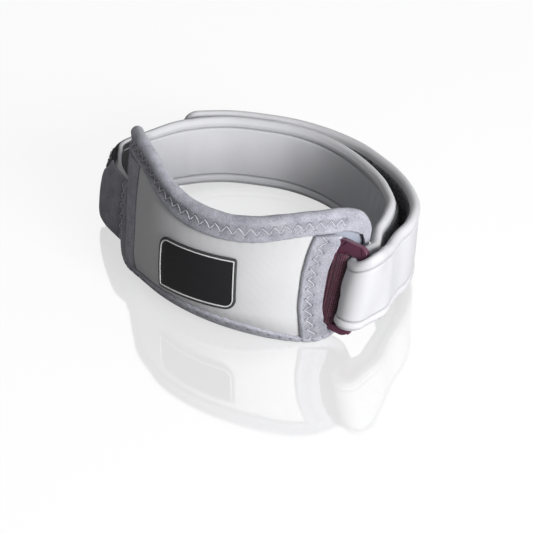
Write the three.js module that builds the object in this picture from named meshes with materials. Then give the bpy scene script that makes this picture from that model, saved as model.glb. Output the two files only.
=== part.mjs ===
// A patellar knee brace: a padded pad at the front and one padded strap, which runs from the pad's left end
// round the back of the leg, through a ring at the pad's right end and back over itself.
// Millimetres, +Z up. The pieces are drawn with z = 0 at the strap's mid-height and the pad facing -Y,
// and a group then lets the brace lean back until the pad and the strap both stand on the floor, z = 0.
import * as THREE from "three";

// The small gap that neighbouring pieces keep, and the one round the webbing, which turns tightly
const GAP = 0.3;
const WRAP_GAP = 0.45;

// Pad: an arc round the front of the leg, measured on its outer surface. It leans back and sits a little
// askew on the strap, by these slopes
const PAD_RADIUS = 60;
const PAD_FRONT_Y = -49;
const PAD_LEAN = 0.07;
const PAD_ROLL = 0.02;
const PAD_AXIS_Y = PAD_FRONT_Y + PAD_RADIUS;
const PAD_COLUMN = 4;
const PAD_ROWS = 8;

// The pad's lower margin curls in towards the leg, most in the middle. Its left end opens out along the
// strap that is sewn to it, and its right end tucks in behind the ring
const CURL = { start: -15, height: 9, depth: 4, halfWidth: 54, endShare: 0.12 };
const LEFT_END = { start: 36, end: 64, outward: 4.2 };
const RIGHT_END = { start: 44, end: 60, outward: -1.2 };

// Layers of the pad, as depths below its outer surface
const BINDING_WALL = 0.7;
const FACE_TOP = 0.95;
const FACE_THICKNESS = 0.95;
const BODY_TOP = FACE_TOP + FACE_THICKNESS + GAP;
const BODY_THICKNESS = 2.6;
const BODY_PADDING = { depth: 2.6, halfWidth: 55, halfHeight: 14 };
const EDGE_ROLL = 3;
const BODY_INSET = 2.6;

// Right half of the pad's outline on its unrolled surface, from the middle of the top to the middle of the
// bottom: u is the arc length from the middle, z the height, flange the binding's height on the outer face
const PAD_OUTLINE = [
  { u: 0, z: 23, flange: 10 },
  { u: 11, z: 23.5, flange: 10 },
  { u: 21, z: 25.2, flange: 10 },
  { u: 31, z: 27.5, flange: 9.5 },
  { u: 41, z: 29.3, flange: 9.1 },
  { u: 51, z: 30, flange: 9.1 },
  { u: 60, z: 29.2, flange: 8.6 },
  { u: 66.5, z: 26.2, flange: 7.6 },
  { u: 70, z: 21, flange: 5.2 },
  { u: 70, z: 14, flange: 4 },
  { u: 68.5, z: 3, flange: 4 },
  { u: 66.5, z: -9, flange: 4.2 },
  { u: 63.5, z: -19, flange: 4.6 },
  { u: 58.5, z: -25.4, flange: 4.6 },
  { u: 50, z: -28, flange: 3.8 },
  { u: 43, z: -28, flange: 3.8 },
  { u: 32, z: -28, flange: 5.6 },
  { u: 21, z: -28, flange: 7.4 },
  { u: 10, z: -28, flange: 8.3 },
  { u: 0, z: -28, flange: 8.4 },
];
const INNER_FLANGE = 5.5;
const OUTLINE_STEP = 4.4;

// Face panel: how far it reaches under the binding, and its crown
const FACE_UNDERLAP = 2.1;
const FACE_LEFT = -48.5;
const FACE_RIGHT = 44.5;
const FACE_MIDDLE = (FACE_LEFT + FACE_RIGHT) / 2;
const FACE_CROWN = 1.7;
const FACE_CROWN_MARGIN = 0.6;

// Strips sewn over the ends of the face panel: their inner and outer edges, as distances from the middle,
// from the lower flange (part 0) to the upper (part 1). The right strip's outer edge is lifted by the webbing
// that comes out from under it
const STRIP = { depth: 0.5, thickness: 1.1, rightLift: 1.75, steps: 9 };
const RIGHT_STRIP_EDGES = [
  { part: 0, inner: 44.3, outer: 51.2 },
  { part: 0.22, inner: 42.2, outer: 50 },
  { part: 0.4, inner: 41.2, outer: 50.1 },
  { part: 0.6, inner: 41.1, outer: 50.4 },
  { part: 0.8, inner: 42, outer: 51.8 },
  { part: 1, inner: 44.2, outer: 54.6 },
];
const LEFT_STRIP_EDGES = [
  { part: 0, inner: 43, outer: 51 },
  { part: 0.33, inner: 43.3, outer: 53 },
  { part: 0.56, inner: 45, outer: 55.5 },
  { part: 0.78, inner: 46.8, outer: 57 },
  { part: 1, inner: 46.6, outer: 57.5 },
];

// Label on the face panel
const LABEL = { u: -1.5, z: -4.8, turn: 0.077, width: 36.5, height: 22.3 };
const LABEL_THICKNESS = 1.5;
const LABEL_BEVEL = 0.8;
const LABEL_ROWS = 5;
const LABEL_ROUND_CORNER = 5;
const LABEL_EDGE_COLUMNS = [0, 0.25, 0.8, 2, 3.5, LABEL_ROUND_CORNER];
const LABEL_SHARP_CORNER = 1.2;
const LABEL_LINE = { inset: 1.2, width: 0.5, height: 0.35, lift: 0.1, step: 3 };

// Strap: section, seams and path
const STRAP_WIDTH = 31;
const STRAP_THICKNESS = 3.6;
const SEAM_FROM_EDGE = 4.4;
const SEAM_DEPTH = 0.5;
const SEAM_HALF_WIDTH = 0.7;
const STRAP_CROWN = 0.25;
const STRAP_STEP = 5;
const FOLD_STEP = 1.3;
const FREE_END_CORNER = 6;
const FREE_END_PLACES = [6, 4, 2.4, 1.2, 0.4, 0];

// The strap's leg-side face in plan, from the pad's left end round the back to the ring. apart is the
// distance to the outer layer's middle, where the strap has come back over itself
const STRAP_PATH = [
  { x: -54.8, y: -23.6 },
  { x: -64.6, y: -15.8 },
  { x: -70.8, y: -7.4 },
  { x: -70.4, y: 1 },
  { x: -65.6, y: 10.6 },
  { x: -58.6, y: 22.6 },
  { x: -56.2, y: 25.8, apart: 6.65 },
  { x: -52.4, y: 30.8, apart: 6.1 },
  { x: -44, y: 39, apart: 5.8 },
  { x: -33, y: 45, apart: 5.7 },
  { x: -20.5, y: 49.4, apart: 5.8 },
  { x: -7, y: 49.9, apart: 6.6 },
  { x: 6, y: 46.8, apart: 8 },
  { x: 16.4, y: 42.2, apart: 8.5 },
  { x: 26.8, y: 36, apart: 9.2 },
  { x: 35.8, y: 28.8, apart: 9.5 },
  { x: 44.2, y: 20.8, apart: 8.3 },
  { x: 47.9, y: 14.1, apart: 7.8 },
  { x: 50.5, y: 6.5, apart: 7.3 },
  { x: 52.1, y: -1.3, apart: 6.3 },
  { x: 54.2, y: -9.4, apart: 5.8 },
  { x: 55.6, y: -15.2, apart: 5.8 },
];
const PATH_INTO_RING = { x: 53.6, y: -20 };
const FOLD_TILT_REACH = 45;

// The strap's sewn end sits lower on the pad than the rest of the loop, between these places along it
const SEWN_END_DROP = { depth: 2.8, from: 15, to: 75 };

// Pile and hook on the strap's second face, and the cover over its sewn end
const PILE = { width: 20.8, thickness: 0.6 };
const HOOK_LENGTH = 30;
const HOOK_FROM_END = 4;
const COVER = { width: 27.5, thickness: 1, length: 25 };

// Ring: two bars and two arms round the strap
const RING_BAR = 2.6;
const RING_ARM = 4.4;
const RING_BEVEL = 0.9;
const RING_CORNER = 4.2;
const RING_OPENING_CORNER = 1.4;
const RING_OPENING_HEIGHT = STRAP_WIDTH + 1;
const RING_FAR_BAR = new THREE.Vector3(58.5, -26.8, 0);
const RING_TURN = 0.03;
const RING_TILT = 0.1;
const RING_LEAN = 0.07;

// Webbing from the pad round the ring's near bar
const WEBBING = { width: 29.6, thickness: 1, root: 45.5, leavesLow: 50.8, leavesHigh: 54 };
const WEBBING_TURNS = [-150, -112, -75, -38, 0, 38, 76, 112, 145];

// The floor runs under the pad's lower corners and under the strap at the back, level across the pad
const PAD_FOOT = { y: -36, z: -27.6 };
const STRAP_FOOT = { y: 57.5, z: -15.1 };
const FOOT_SLOPE = (STRAP_FOOT.z - PAD_FOOT.z) / (STRAP_FOOT.y - PAD_FOOT.y);
const FLOOR_NORMAL = new THREE.Vector3(PAD_ROLL, -FOOT_SLOPE, 1).normalize();
const UP = new THREE.Vector3(0, 0, 1);

const COLOURS = {
  face: { color: 0xc6c6ca, roughness: 0.85 },
  velour: { color: 0xa3a3b1, roughness: 0.95 },
  lining: { color: 0xb4b6be, roughness: 0.85 },
  strap: { color: 0xd8d8dc, roughness: 0.75 },
  pile: { color: 0x1d1c20, roughness: 1 },
  burgundy: { color: 0x4a2437, roughness: 0.4 },
  webbing: { color: 0x45202f, roughness: 0.9 },
  rubber: { color: 0x1a1a1c, roughness: 0.6 },
  white: { color: 0xe6e6e6, roughness: 0.5 },
};

// Closed surfaces from sections

function floorHeight({ x, y }) {
  return PAD_FOOT.z + (y - PAD_FOOT.y) * FOOT_SLOPE - PAD_ROLL * x;
}

// Cloth is pressed flat where it meets the floor
function rested(point, wall = 0) {
  point.z = Math.max(point.z, floorHeight(point) + wall);
  return point;
}

function signedArea(a, b, c) {
  return (b.x - a.x) * (c.y - a.y) - (b.y - a.y) * (c.x - a.x);
}

// End faces of a section drawn flat, anticlockwise
function drawnEnd(outline) {
  return THREE.ShapeUtils.triangulateShape(outline, []).map(([a, b, c]) =>
    signedArea(outline[a], outline[b], outline[c]) > 0 ? [a, b, c] : [a, c, b],
  );
}

// End faces of a section that goes up one side of a layer and down the other, point facing point
function pairedEnd(count) {
  const steps = Array.from({ length: count / 2 - 1 }, (_, i) => i);
  return steps.flatMap((i) => [
    [i, i + 1, count - 2 - i],
    [i, count - 2 - i, count - 1 - i],
  ]);
}

function volumeOf(points, faces) {
  const cross = new THREE.Vector3();
  return faces.reduce((sum, [a, b, c]) => {
    cross.crossVectors(points[b], points[c]);
    return sum + points[a].dot(cross) / 6;
  }, 0);
}

// A closed skin over equal sections, with end faces, or with the last section joined to the first
function skin(sections, endFaces = null) {
  const count = sections[0].length;
  const points = sections.flat();
  const spans = endFaces ? sections.length - 1 : sections.length;
  const faces = [];
  for (let i = 0; i < spans; i++) {
    const here = i * count;
    const next = ((i + 1) % sections.length) * count;
    for (let j = 0; j < count; j++) {
      const k = (j + 1) % count;
      faces.push([here + j, here + k, next + k], [here + j, next + k, next + j]);
    }
  }
  const last = (sections.length - 1) * count;
  for (const [a, b, c] of endFaces ?? []) {
    faces.push([c, b, a], [last + a, last + b, last + c]);
  }
  const inward = volumeOf(points, faces) < 0;
  const index = faces.flatMap(([a, b, c]) => (inward ? [c, b, a] : [a, b, c]));
  const geometry = new THREE.BufferGeometry();
  geometry.setAttribute("position", new THREE.Float32BufferAttribute(points.flatMap((p) => p.toArray()), 3));
  geometry.setIndex(index);
  geometry.computeVertexNormals();
  return geometry;
}

function rectangle(lowX, highX, lowY, highY) {
  return [
    new THREE.Vector2(lowX, lowY),
    new THREE.Vector2(highX, lowY),
    new THREE.Vector2(highX, highY),
    new THREE.Vector2(lowX, highY),
  ];
}

function spaced(from, to, step) {
  const spans = Math.max(1, Math.round(Math.abs(to - from) / step));
  return Array.from({ length: spans + 1 }, (_, i) => from + ((to - from) * i) / spans);
}

// A value read off a table by straight lines between its rows
function readTable(rows, key, at, column) {
  const after = rows.findIndex((row) => row[key] >= at);
  if (after <= 0) return rows[after < 0 ? rows.length - 1 : 0][column];
  const low = rows[after - 1];
  const high = rows[after];
  return THREE.MathUtils.mapLinear(at, low[key], high[key], low[column], high[column]);
}

// The pad's surface

// The point at arc length u and height z, depth below the pad's outer surface
function padPoint(u, z, depth) {
  const end = u < 0 ? LEFT_END : RIGHT_END;
  const drift = end.outward * THREE.MathUtils.smoothstep(Math.abs(u), end.start, end.end);
  const curl = Math.max(0, (CURL.start - z) / CURL.height);
  const curlDepth = CURL.depth * Math.max(CURL.endShare, 1 - (u / CURL.halfWidth) ** 2);
  const slope = (2 * curlDepth * curl) / CURL.height;
  const stretch = Math.hypot(1, slope);
  const reach = PAD_RADIUS + drift - curlDepth * curl * curl - depth / stretch;
  const height = z + (depth * slope) / stretch;
  const x = reach * Math.sin(u / PAD_RADIUS);
  const y = PAD_AXIS_Y - reach * Math.cos(u / PAD_RADIUS);
  return new THREE.Vector3(x, y + PAD_LEAN * height, height - PAD_ROLL * x);
}

// The whole outline, clockwise from the middle of the top, as a smooth closed curve through its rows
function padOutline() {
  const left = PAD_OUTLINE.slice(1, -1)
    .reverse()
    .map((row) => ({ ...row, u: -row.u }));
  const rows = [...PAD_OUTLINE, ...left];
  const curve = new THREE.CatmullRomCurve3(
    rows.map((row) => new THREE.Vector3(row.u, row.z, row.flange)),
    true,
    "centripetal",
  );
  return curve.getSpacedPoints(Math.round(curve.getLength() / OUTLINE_STEP)).slice(0, -1);
}

const OUTLINE = padOutline();

// The direction into the pad at each point of the outline
function outlineInward(outline, i) {
  const before = outline[(i + outline.length - 1) % outline.length];
  const after = outline[(i + 1) % outline.length];
  const along = new THREE.Vector2(after.x - before.x, after.y - before.y).normalize();
  return new THREE.Vector2(along.y, -along.x);
}

function insetOutline(outline, insetAt) {
  return outline.map((here, i) => {
    const inward = outlineInward(outline, i).multiplyScalar(insetAt(here));
    return new THREE.Vector3(here.x + inward.x, here.y + inward.y, here.z);
  });
}

// Where the face comes out from under the binding
const FLANGE_EDGE = insetOutline(OUTLINE, (here) => here.z);

// Lowest and highest point of an outline at u
function outlineHeights(outline, u) {
  const heights = [];
  outline.forEach((a, i) => {
    const b = outline[(i + 1) % outline.length];
    if (a.x <= u !== b.x <= u) heights.push(THREE.MathUtils.mapLinear(u, a.x, b.x, a.y, b.y));
  });
  return { low: Math.min(...heights), high: Math.max(...heights) };
}

// A curved layer of the pad between two depths, in columns across it
function padLayer(columns, rows, outerDepth, innerDepth) {
  const sections = columns.map(({ u, low, high }) => {
    const heights = spaced(low, high, (high - low) / rows);
    const outer = heights.map((z) => padPoint(u, z, outerDepth(u, z)));
    const inner = heights.map((z) => padPoint(u, z, innerDepth(u, z)));
    return [...outer, ...inner.reverse()];
  });
  return skin(sections, pairedEnd(sections[0].length));
}

function faceDepth(u, z) {
  const { low, high } = outlineHeights(FLANGE_EDGE, u);
  const from = low + FACE_CROWN_MARGIN;
  const to = high - FACE_CROWN_MARGIN;
  const part = THREE.MathUtils.clamp((z - from) / (to - from), 0, 1);
  const across = Math.max(0, 1 - ((u - FACE_MIDDLE) / (FACE_RIGHT - FACE_MIDDLE)) ** 2);
  return FACE_TOP - FACE_CROWN * across * 4 * part * (1 - part);
}

function padBody() {
  const edge = insetOutline(OUTLINE, () => BODY_INSET);
  const reach = Math.max(...edge.map((p) => p.x)) - 1;
  const columns = spaced(-reach, reach, PAD_COLUMN).map((u) => ({ u, ...outlineHeights(edge, u) }));
  const { depth, halfWidth, halfHeight } = BODY_PADDING;
  const hump = (part) => Math.max(0, 1 - part * part);
  const padding = (u, z) => depth * hump(u / halfWidth) * hump(z / halfHeight);
  return padLayer(
    columns,
    PAD_ROWS,
    () => BODY_TOP,
    (u, z) => BODY_TOP + BODY_THICKNESS + padding(u, z),
  );
}

function padFace() {
  const columns = spaced(FACE_LEFT, FACE_RIGHT, PAD_COLUMN).map((u) => {
    const { low, high } = outlineHeights(FLANGE_EDGE, u);
    const rollEnds = outlineHeights(OUTLINE, u).low + EDGE_ROLL;
    return { u, low: Math.max(low - FACE_UNDERLAP, rollEnds), high: high + FACE_UNDERLAP };
  });
  return padLayer(columns, PAD_ROWS, faceDepth, () => FACE_TOP + FACE_THICKNESS);
}

// The binding is a channel rolled over the pad's edge: an outer flange, a round edge and an inner flange
function bindingSection(flange) {
  const turns = [0.2, 0.4, 0.6, 0.8].map((part) => Math.PI * part);
  const roll = (radius) =>
    turns.map((angle) => ({
      inward: EDGE_ROLL - radius * Math.sin(angle),
      depth: EDGE_ROLL - radius * Math.cos(angle),
    }));
  const deep = 2 * EDGE_ROLL;
  const outer = [
    { inward: flange, depth: 0 },
    { inward: (flange + EDGE_ROLL) / 2, depth: 0 },
    { inward: EDGE_ROLL, depth: 0 },
    ...roll(EDGE_ROLL),
    { inward: EDGE_ROLL, depth: deep },
    { inward: INNER_FLANGE, depth: deep },
  ];
  const inner = [
    { inward: INNER_FLANGE, depth: deep - BINDING_WALL },
    { inward: EDGE_ROLL, depth: deep - BINDING_WALL },
    ...roll(EDGE_ROLL - BINDING_WALL).reverse(),
    { inward: EDGE_ROLL, depth: BINDING_WALL },
    { inward: (flange + EDGE_ROLL) / 2, depth: BINDING_WALL },
    { inward: flange, depth: BINDING_WALL },
  ];
  return [...outer, ...inner.map((place) => ({ ...place, wall: BINDING_WALL }))];
}

function padBinding() {
  const sections = OUTLINE.map((here, i) => {
    const inward = outlineInward(OUTLINE, i);
    return bindingSection(here.z).map((place) =>
      rested(
        padPoint(here.x + inward.x * place.inward, here.y + inward.y * place.inward, place.depth),
        place.wall,
      ),
    );
  });
  return skin(sections);
}

function sideStrip(side, edges, lift) {
  const { depth, thickness, steps } = STRIP;
  const sections = spaced(0, 1, 1 / steps).map((part) => {
    const inner = readTable(edges, "part", part, "inner");
    const outer = readTable(edges, "part", part, "outer");
    const layer = [0, 0.35, 0.7, 1].map((across) => {
      const u = THREE.MathUtils.lerp(inner, outer, across);
      const { low, high } = outlineHeights(FLANGE_EDGE, u);
      const z = THREE.MathUtils.lerp(low + GAP, high - GAP, part);
      const raised = depth - lift * across * across;
      return [padPoint(side * u, z, raised), padPoint(side * u, z, raised - thickness)];
    });
    return [...layer.map(([under]) => under), ...layer.map(([, over]) => over).reverse()];
  });
  return skin(sections, pairedEnd(sections[0].length));
}

// Label

// The point on the face at across and height from the label's middle, which is sewn on a little turned
function onLabel(across, height, lift) {
  const u = LABEL.u + across - LABEL.turn * height;
  const z = LABEL.z + height + LABEL.turn * across;
  return padPoint(u, z, faceDepth(u, z) - GAP - lift);
}

// Two opposite corners are well rounded, the other two nearly sharp
function labelHalfHeight(across, top) {
  const corner = (across < 0) === top ? LABEL_ROUND_CORNER : LABEL_SHARP_CORNER;
  const into = Math.max(0, Math.abs(across) - (LABEL.width / 2 - corner));
  return LABEL.height / 2 - corner + Math.sqrt(Math.max(0, corner * corner - into * into));
}

function labelPatch() {
  const half = LABEL.width / 2;
  const across = [
    ...LABEL_EDGE_COLUMNS.map((d) => d - half),
    ...spaced(-half + LABEL_ROUND_CORNER, half - LABEL_ROUND_CORNER, PAD_COLUMN).slice(1, -1),
    ...LABEL_EDGE_COLUMNS.map((d) => half - d).reverse(),
  ];
  const bevel = LABEL_BEVEL;
  const sections = across.map((d) => {
    const low = -labelHalfHeight(d, false);
    const high = labelHalfHeight(d, true);
    const fall = Math.max(0, bevel - (half - Math.abs(d)));
    const under = spaced(low, high, (high - low) / LABEL_ROWS);
    const over = spaced(low + bevel, high - bevel, (high - low - 2 * bevel) / LABEL_ROWS);
    return [
      onLabel(d, low, LABEL_THICKNESS - bevel),
      ...under.map((height) => onLabel(d, height, 0)),
      onLabel(d, high, LABEL_THICKNESS - bevel),
      ...over.reverse().map((height) => onLabel(d, height, LABEL_THICKNESS - fall)),
    ];
  });
  return skin(sections, pairedEnd(sections[0].length));
}

function labelLine() {
  const { inset, width, height, lift, step } = LABEL_LINE;
  const halfWidth = LABEL.width / 2 - inset;
  const halfHeight = LABEL.height / 2 - inset;
  const shape = new THREE.Shape();
  const round = LABEL_ROUND_CORNER - inset;
  const sharp = LABEL_SHARP_CORNER / 2;
  shape.moveTo(-halfWidth + round, halfHeight);
  shape.lineTo(halfWidth - sharp, halfHeight);
  shape.quadraticCurveTo(halfWidth, halfHeight, halfWidth, halfHeight - sharp);
  shape.lineTo(halfWidth, -halfHeight + round);
  shape.absarc(halfWidth - round, -halfHeight + round, round, 0, -Math.PI / 2, true);
  shape.lineTo(-halfWidth + sharp, -halfHeight);
  shape.quadraticCurveTo(-halfWidth, -halfHeight, -halfWidth, -halfHeight + sharp);
  shape.lineTo(-halfWidth, halfHeight - round);
  shape.absarc(-halfWidth + round, halfHeight - round, round, Math.PI, Math.PI / 2, true);
  const path = shape.getSpacedPoints(Math.round(shape.getLength() / step)).slice(0, -1);
  const sections = path.map((here, i) => {
    const before = path[(i + path.length - 1) % path.length];
    const after = path[(i + 1) % path.length];
    const along = after.clone().sub(before).normalize();
    const side = new THREE.Vector2(along.y, -along.x).multiplyScalar(width / 2);
    const bottom = LABEL_THICKNESS + lift;
    return rectangle(-1, 1, bottom, bottom + height).map((place) =>
      onLabel(here.x + side.x * place.x, here.y + side.y * place.x, place.y),
    );
  });
  return skin(sections);
}

// Strap

// From bar to bar there is room for the webbing's turn, the strap and its pile
const STRAP_BUILD = STRAP_THICKNESS + STRAP_CROWN + GAP + PILE.thickness;
const RING_PITCH = RING_BAR + WRAP_GAP + WEBBING.thickness + GAP + STRAP_BUILD + GAP;
const RING_ALONG = new THREE.Vector3(Math.cos(RING_TURN), Math.sin(RING_TURN), 0);
const RING_BACK = new THREE.Vector3(-RING_ALONG.y, RING_ALONG.x, 0);
const RING_NEAR_BAR = RING_FAR_BAR.clone().addScaledVector(RING_ALONG, -RING_PITCH);

// How far the ring's bars move in plan for each millimetre of height: tilted sideways, leaning with the pad
const RING_RISE = RING_ALONG.clone().multiplyScalar(RING_TILT).addScaledVector(RING_BACK, RING_LEAN);

const FOLD_RADIUS = RING_BAR / 2 + GAP + PILE.thickness + GAP + STRAP_THICKNESS / 2;

// The strap's middle line in plan: the inner layer, the fold round the ring's far bar, the outer layer
function strapLine() {
  const face = new THREE.CatmullRomCurve3(
    STRAP_PATH.map(({ x, y }) => new THREE.Vector3(x, y, 0)),
    false,
    "centripetal",
  );
  const last = STRAP_PATH.length - 1;
  const offset = (i, distance) => {
    const along = face.getTangent(i / last);
    const outward = new THREE.Vector3(-along.y, along.x, 0);
    return face.getPoint(i / last).addScaledVector(outward, distance);
  };
  const inner = STRAP_PATH.map((_, i) => offset(i, STRAP_THICKNESS / 2));
  inner.push(new THREE.Vector3(PATH_INTO_RING.x + STRAP_THICKNESS / 2, PATH_INTO_RING.y, 0));
  const outer = STRAP_PATH.map((row, i) => row.apart && offset(i, STRAP_THICKNESS / 2 + row.apart))
    .filter(Boolean)
    .reverse();
  const fold = spaced(Math.PI, 2 * Math.PI, Math.PI / 6).map(
    (angle) =>
      new THREE.Vector3(
        RING_FAR_BAR.x + FOLD_RADIUS * Math.cos(angle),
        RING_FAR_BAR.y + FOLD_RADIUS * Math.sin(angle),
        0,
      ),
  );
  const curve = new THREE.CatmullRomCurve3([...inner, ...fold, ...outer], false, "centripetal");
  curve.arcLengthDivisions = 2000;
  return curve;
}

// Places along the strap, closer together in the fold and at the free end
function strapStations(curve) {
  const length = curve.getLength();
  const stations = [];
  let at = 0;
  while (at < length - FREE_END_CORNER - STRAP_STEP / 2) {
    stations.push(at);
    const near = curve.getPointAt(at / length).distanceTo(RING_FAR_BAR) < 2 * FOLD_RADIUS;
    at += near ? FOLD_STEP : STRAP_STEP;
  }
  return [...stations, ...FREE_END_PLACES.map((back) => length - back)];
}

// A band carried along the strap between two places. outlineAt gives its section there as
// across (up the strap's width) and out (from the strap's middle towards its pile side)
function bandAlongStrap(strap, from, to, outlineAt) {
  const { curve, stations, length } = strap;
  const places = [from, ...stations.filter((s) => s > from + 0.5 && s < to - 0.5), to];
  const sections = places.map((at) => {
    const point = curve.getPointAt(at / length);
    const along = curve.getTangentAt(at / length);
    const out = new THREE.Vector3(-along.y, along.x, 0);
    const away = (point.distanceTo(RING_FAR_BAR) - 2 * FOLD_RADIUS) / FOLD_TILT_REACH;
    const tilt = 1 - THREE.MathUtils.smoothstep(away, 0, 1);
    const rise = THREE.MathUtils.smoothstep(at, SEWN_END_DROP.from, SEWN_END_DROP.to);
    return outlineAt(at).map((place) => {
      const spot = point.clone().addScaledVector(out, place.y).addScaledVector(RING_RISE, tilt * place.x);
      spot.z += place.x - SEWN_END_DROP.depth * (1 - rise);
      return rested(spot);
    });
  });
  return skin(sections, drawnEnd(outlineAt(from)));
}

// Rolled rims, a seam beside each rim on the smooth face and a slight crown between the seams
function strapSection(width) {
  const half = width / 2;
  const thick = STRAP_THICKNESS / 2;
  const seam = half - SEAM_FROM_EDGE;
  const rimTurns = [-90, -45, 0, 45, 90].map((degrees) => THREE.MathUtils.degToRad(degrees));
  const rim = rimTurns.map(
    (angle) => new THREE.Vector2(half - thick + thick * Math.cos(angle), thick * Math.sin(angle)),
  );
  const upperFace = [
    new THREE.Vector2(seam - SEAM_HALF_WIDTH, -thick),
    new THREE.Vector2(seam, SEAM_DEPTH - thick),
    new THREE.Vector2(seam + SEAM_HALF_WIDTH, -thick),
  ];
  const flip = (p) => new THREE.Vector2(-p.x, p.y);
  return [
    new THREE.Vector2(0, -thick - STRAP_CROWN),
    ...upperFace,
    ...rim,
    ...rim.map(flip).reverse(),
    ...upperFace.map(flip).reverse(),
  ];
}

function strapBand(strap) {
  const { length } = strap;
  const widthAt = (at) => {
    const into = Math.max(0, FREE_END_CORNER - (length - at));
    const drop = FREE_END_CORNER - Math.sqrt(Math.max(0, FREE_END_CORNER ** 2 - into ** 2));
    return STRAP_WIDTH - 2 * drop;
  };
  return bandAlongStrap(strap, 0, length, (at) => strapSection(widthAt(at)));
}

function strapLayer(strap, from, to, { width, thickness }) {
  const low = STRAP_THICKNESS / 2 + GAP;
  const section = rectangle(-width / 2, width / 2, low, low + thickness);
  return bandAlongStrap(strap, from, to, () => section);
}

// Ring and its webbing

function roundedRectangle(path, halfWidth, halfHeight, corner) {
  path.moveTo(halfWidth, -halfHeight + corner);
  path.absarc(halfWidth - corner, halfHeight - corner, corner, 0, Math.PI / 2, false);
  path.absarc(-halfWidth + corner, halfHeight - corner, corner, Math.PI / 2, Math.PI, false);
  path.absarc(-halfWidth + corner, -halfHeight + corner, corner, Math.PI, 1.5 * Math.PI, false);
  path.absarc(halfWidth - corner, -halfHeight + corner, corner, 1.5 * Math.PI, 2 * Math.PI, false);
  return path;
}

function strapRing() {
  const halfOpening = RING_OPENING_HEIGHT / 2;
  const halfPitch = RING_PITCH / 2;
  const shape = roundedRectangle(
    new THREE.Shape(),
    halfPitch + RING_BAR / 2,
    halfOpening + RING_ARM,
    RING_CORNER,
  );
  shape.holes.push(
    roundedRectangle(new THREE.Path(), halfPitch - RING_BAR / 2, halfOpening, RING_OPENING_CORNER),
  );
  const geometry = new THREE.ExtrudeGeometry(shape, {
    depth: RING_BAR - 2 * RING_BEVEL,
    bevelThickness: RING_BEVEL,
    bevelSize: RING_BEVEL,
    bevelOffset: -RING_BEVEL,
    bevelSegments: 2,
    curveSegments: 5,
  });
  geometry.translate(0, 0, RING_BEVEL - RING_BAR / 2);
  const up = new THREE.Vector3(0, 0, 1).add(RING_RISE).normalize();
  const facing = RING_ALONG.clone().cross(up).normalize();
  const along = up.clone().cross(facing);
  const middle = RING_NEAR_BAR.clone().lerp(RING_FAR_BAR, 0.5);
  return geometry.applyMatrix4(new THREE.Matrix4().makeBasis(along, up, facing).setPosition(middle));
}

// The webbing's middle line at height z: from under the side strip, round the near bar and back
function webbingLine(z) {
  const { width, thickness, root, leavesLow, leavesHigh } = WEBBING;
  const wrap = RING_BAR / 2 + WRAP_GAP + thickness / 2;
  const depth = BODY_TOP - WRAP_GAP - thickness / 2;
  const leaves = THREE.MathUtils.mapLinear(z, -width / 2, width / 2, leavesLow, leavesHigh);
  const onPad = spaced(root, leaves, (leaves - root) / 2).map((u) => padPoint(u, z, depth));
  const bar = RING_NEAR_BAR.clone().addScaledVector(RING_RISE, z);
  const round = WEBBING_TURNS.map((degrees) => {
    const angle = THREE.MathUtils.degToRad(degrees);
    return new THREE.Vector3(bar.x + wrap * Math.cos(angle), bar.y + wrap * Math.sin(angle), z);
  });
  return new THREE.CatmullRomCurve3([...onPad, ...round], false, "centripetal");
}

function ringWebbing() {
  const half = WEBBING.thickness / 2;
  const edges = [-WEBBING.width / 2, WEBBING.width / 2].map(webbingLine);
  const spans = 2 * (edges[0].points.length - 1);
  const sections = spaced(0, 1, 1 / spans).map((t) =>
    edges.flatMap((edge, i) => {
      const along = edge.getTangent(t);
      const out = new THREE.Vector3(-along.y, along.x, 0).normalize();
      const sides = i === 0 ? [-half, half] : [half, -half];
      return sides.map((side) => edge.getPoint(t).addScaledVector(out, side));
    }),
  );
  return skin(sections, pairedEnd(4));
}

// Assembly

function piece(name, geometry, finish) {
  const material = new THREE.MeshStandardMaterial({ metalness: 0, ...COLOURS[finish] });
  const mesh = new THREE.Mesh(geometry, material);
  mesh.name = name;
  return mesh;
}

function buildBrace() {
  const curve = strapLine();
  const strap = { curve, length: curve.getLength(), stations: strapStations(curve) };
  const hookStart = strap.length - HOOK_FROM_END - HOOK_LENGTH;

  const leaning = new THREE.Group();
  leaning.add(
    piece("pad_body", padBody(), "lining"),
    piece("pad_face", padFace(), "face"),
    piece("pad_binding", padBinding(), "velour"),
    piece("side_strip_left", sideStrip(-1, LEFT_STRIP_EDGES, 0), "velour"),
    piece("side_strip_right", sideStrip(1, RIGHT_STRIP_EDGES, STRIP.rightLift), "velour"),
    piece("label_patch", labelPatch(), "rubber"),
    piece("label_line", labelLine(), "white"),
    piece("strap", strapBand(strap), "strap"),
    piece("strap_end_cover", strapLayer(strap, 0, COVER.length, COVER), "velour"),
    piece("strap_pile", strapLayer(strap, COVER.length + GAP, hookStart - GAP, PILE), "pile"),
    piece("hook_patch", strapLayer(strap, hookStart, strap.length - HOOK_FROM_END, PILE), "pile"),
    piece("strap_ring", strapRing(), "burgundy"),
    piece("ring_webbing", ringWebbing(), "webbing"),
  );

  // Lean back on to the floor, then bring the middle of the footprint to the origin
  leaning.quaternion.setFromUnitVectors(FLOOR_NORMAL, UP);
  leaning.updateMatrixWorld(true);
  const box = new THREE.Box3().setFromObject(leaning, true);
  const middle = box.getCenter(new THREE.Vector3());
  leaning.position.set(-middle.x, -middle.y, -box.min.z);

  const brace = new THREE.Group();
  brace.add(leaning);
  return brace;
}

const brace = buildBrace();

export default brace;
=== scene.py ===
import math

import bpy
import numpy as np
from mathutils import Matrix, Vector


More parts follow.
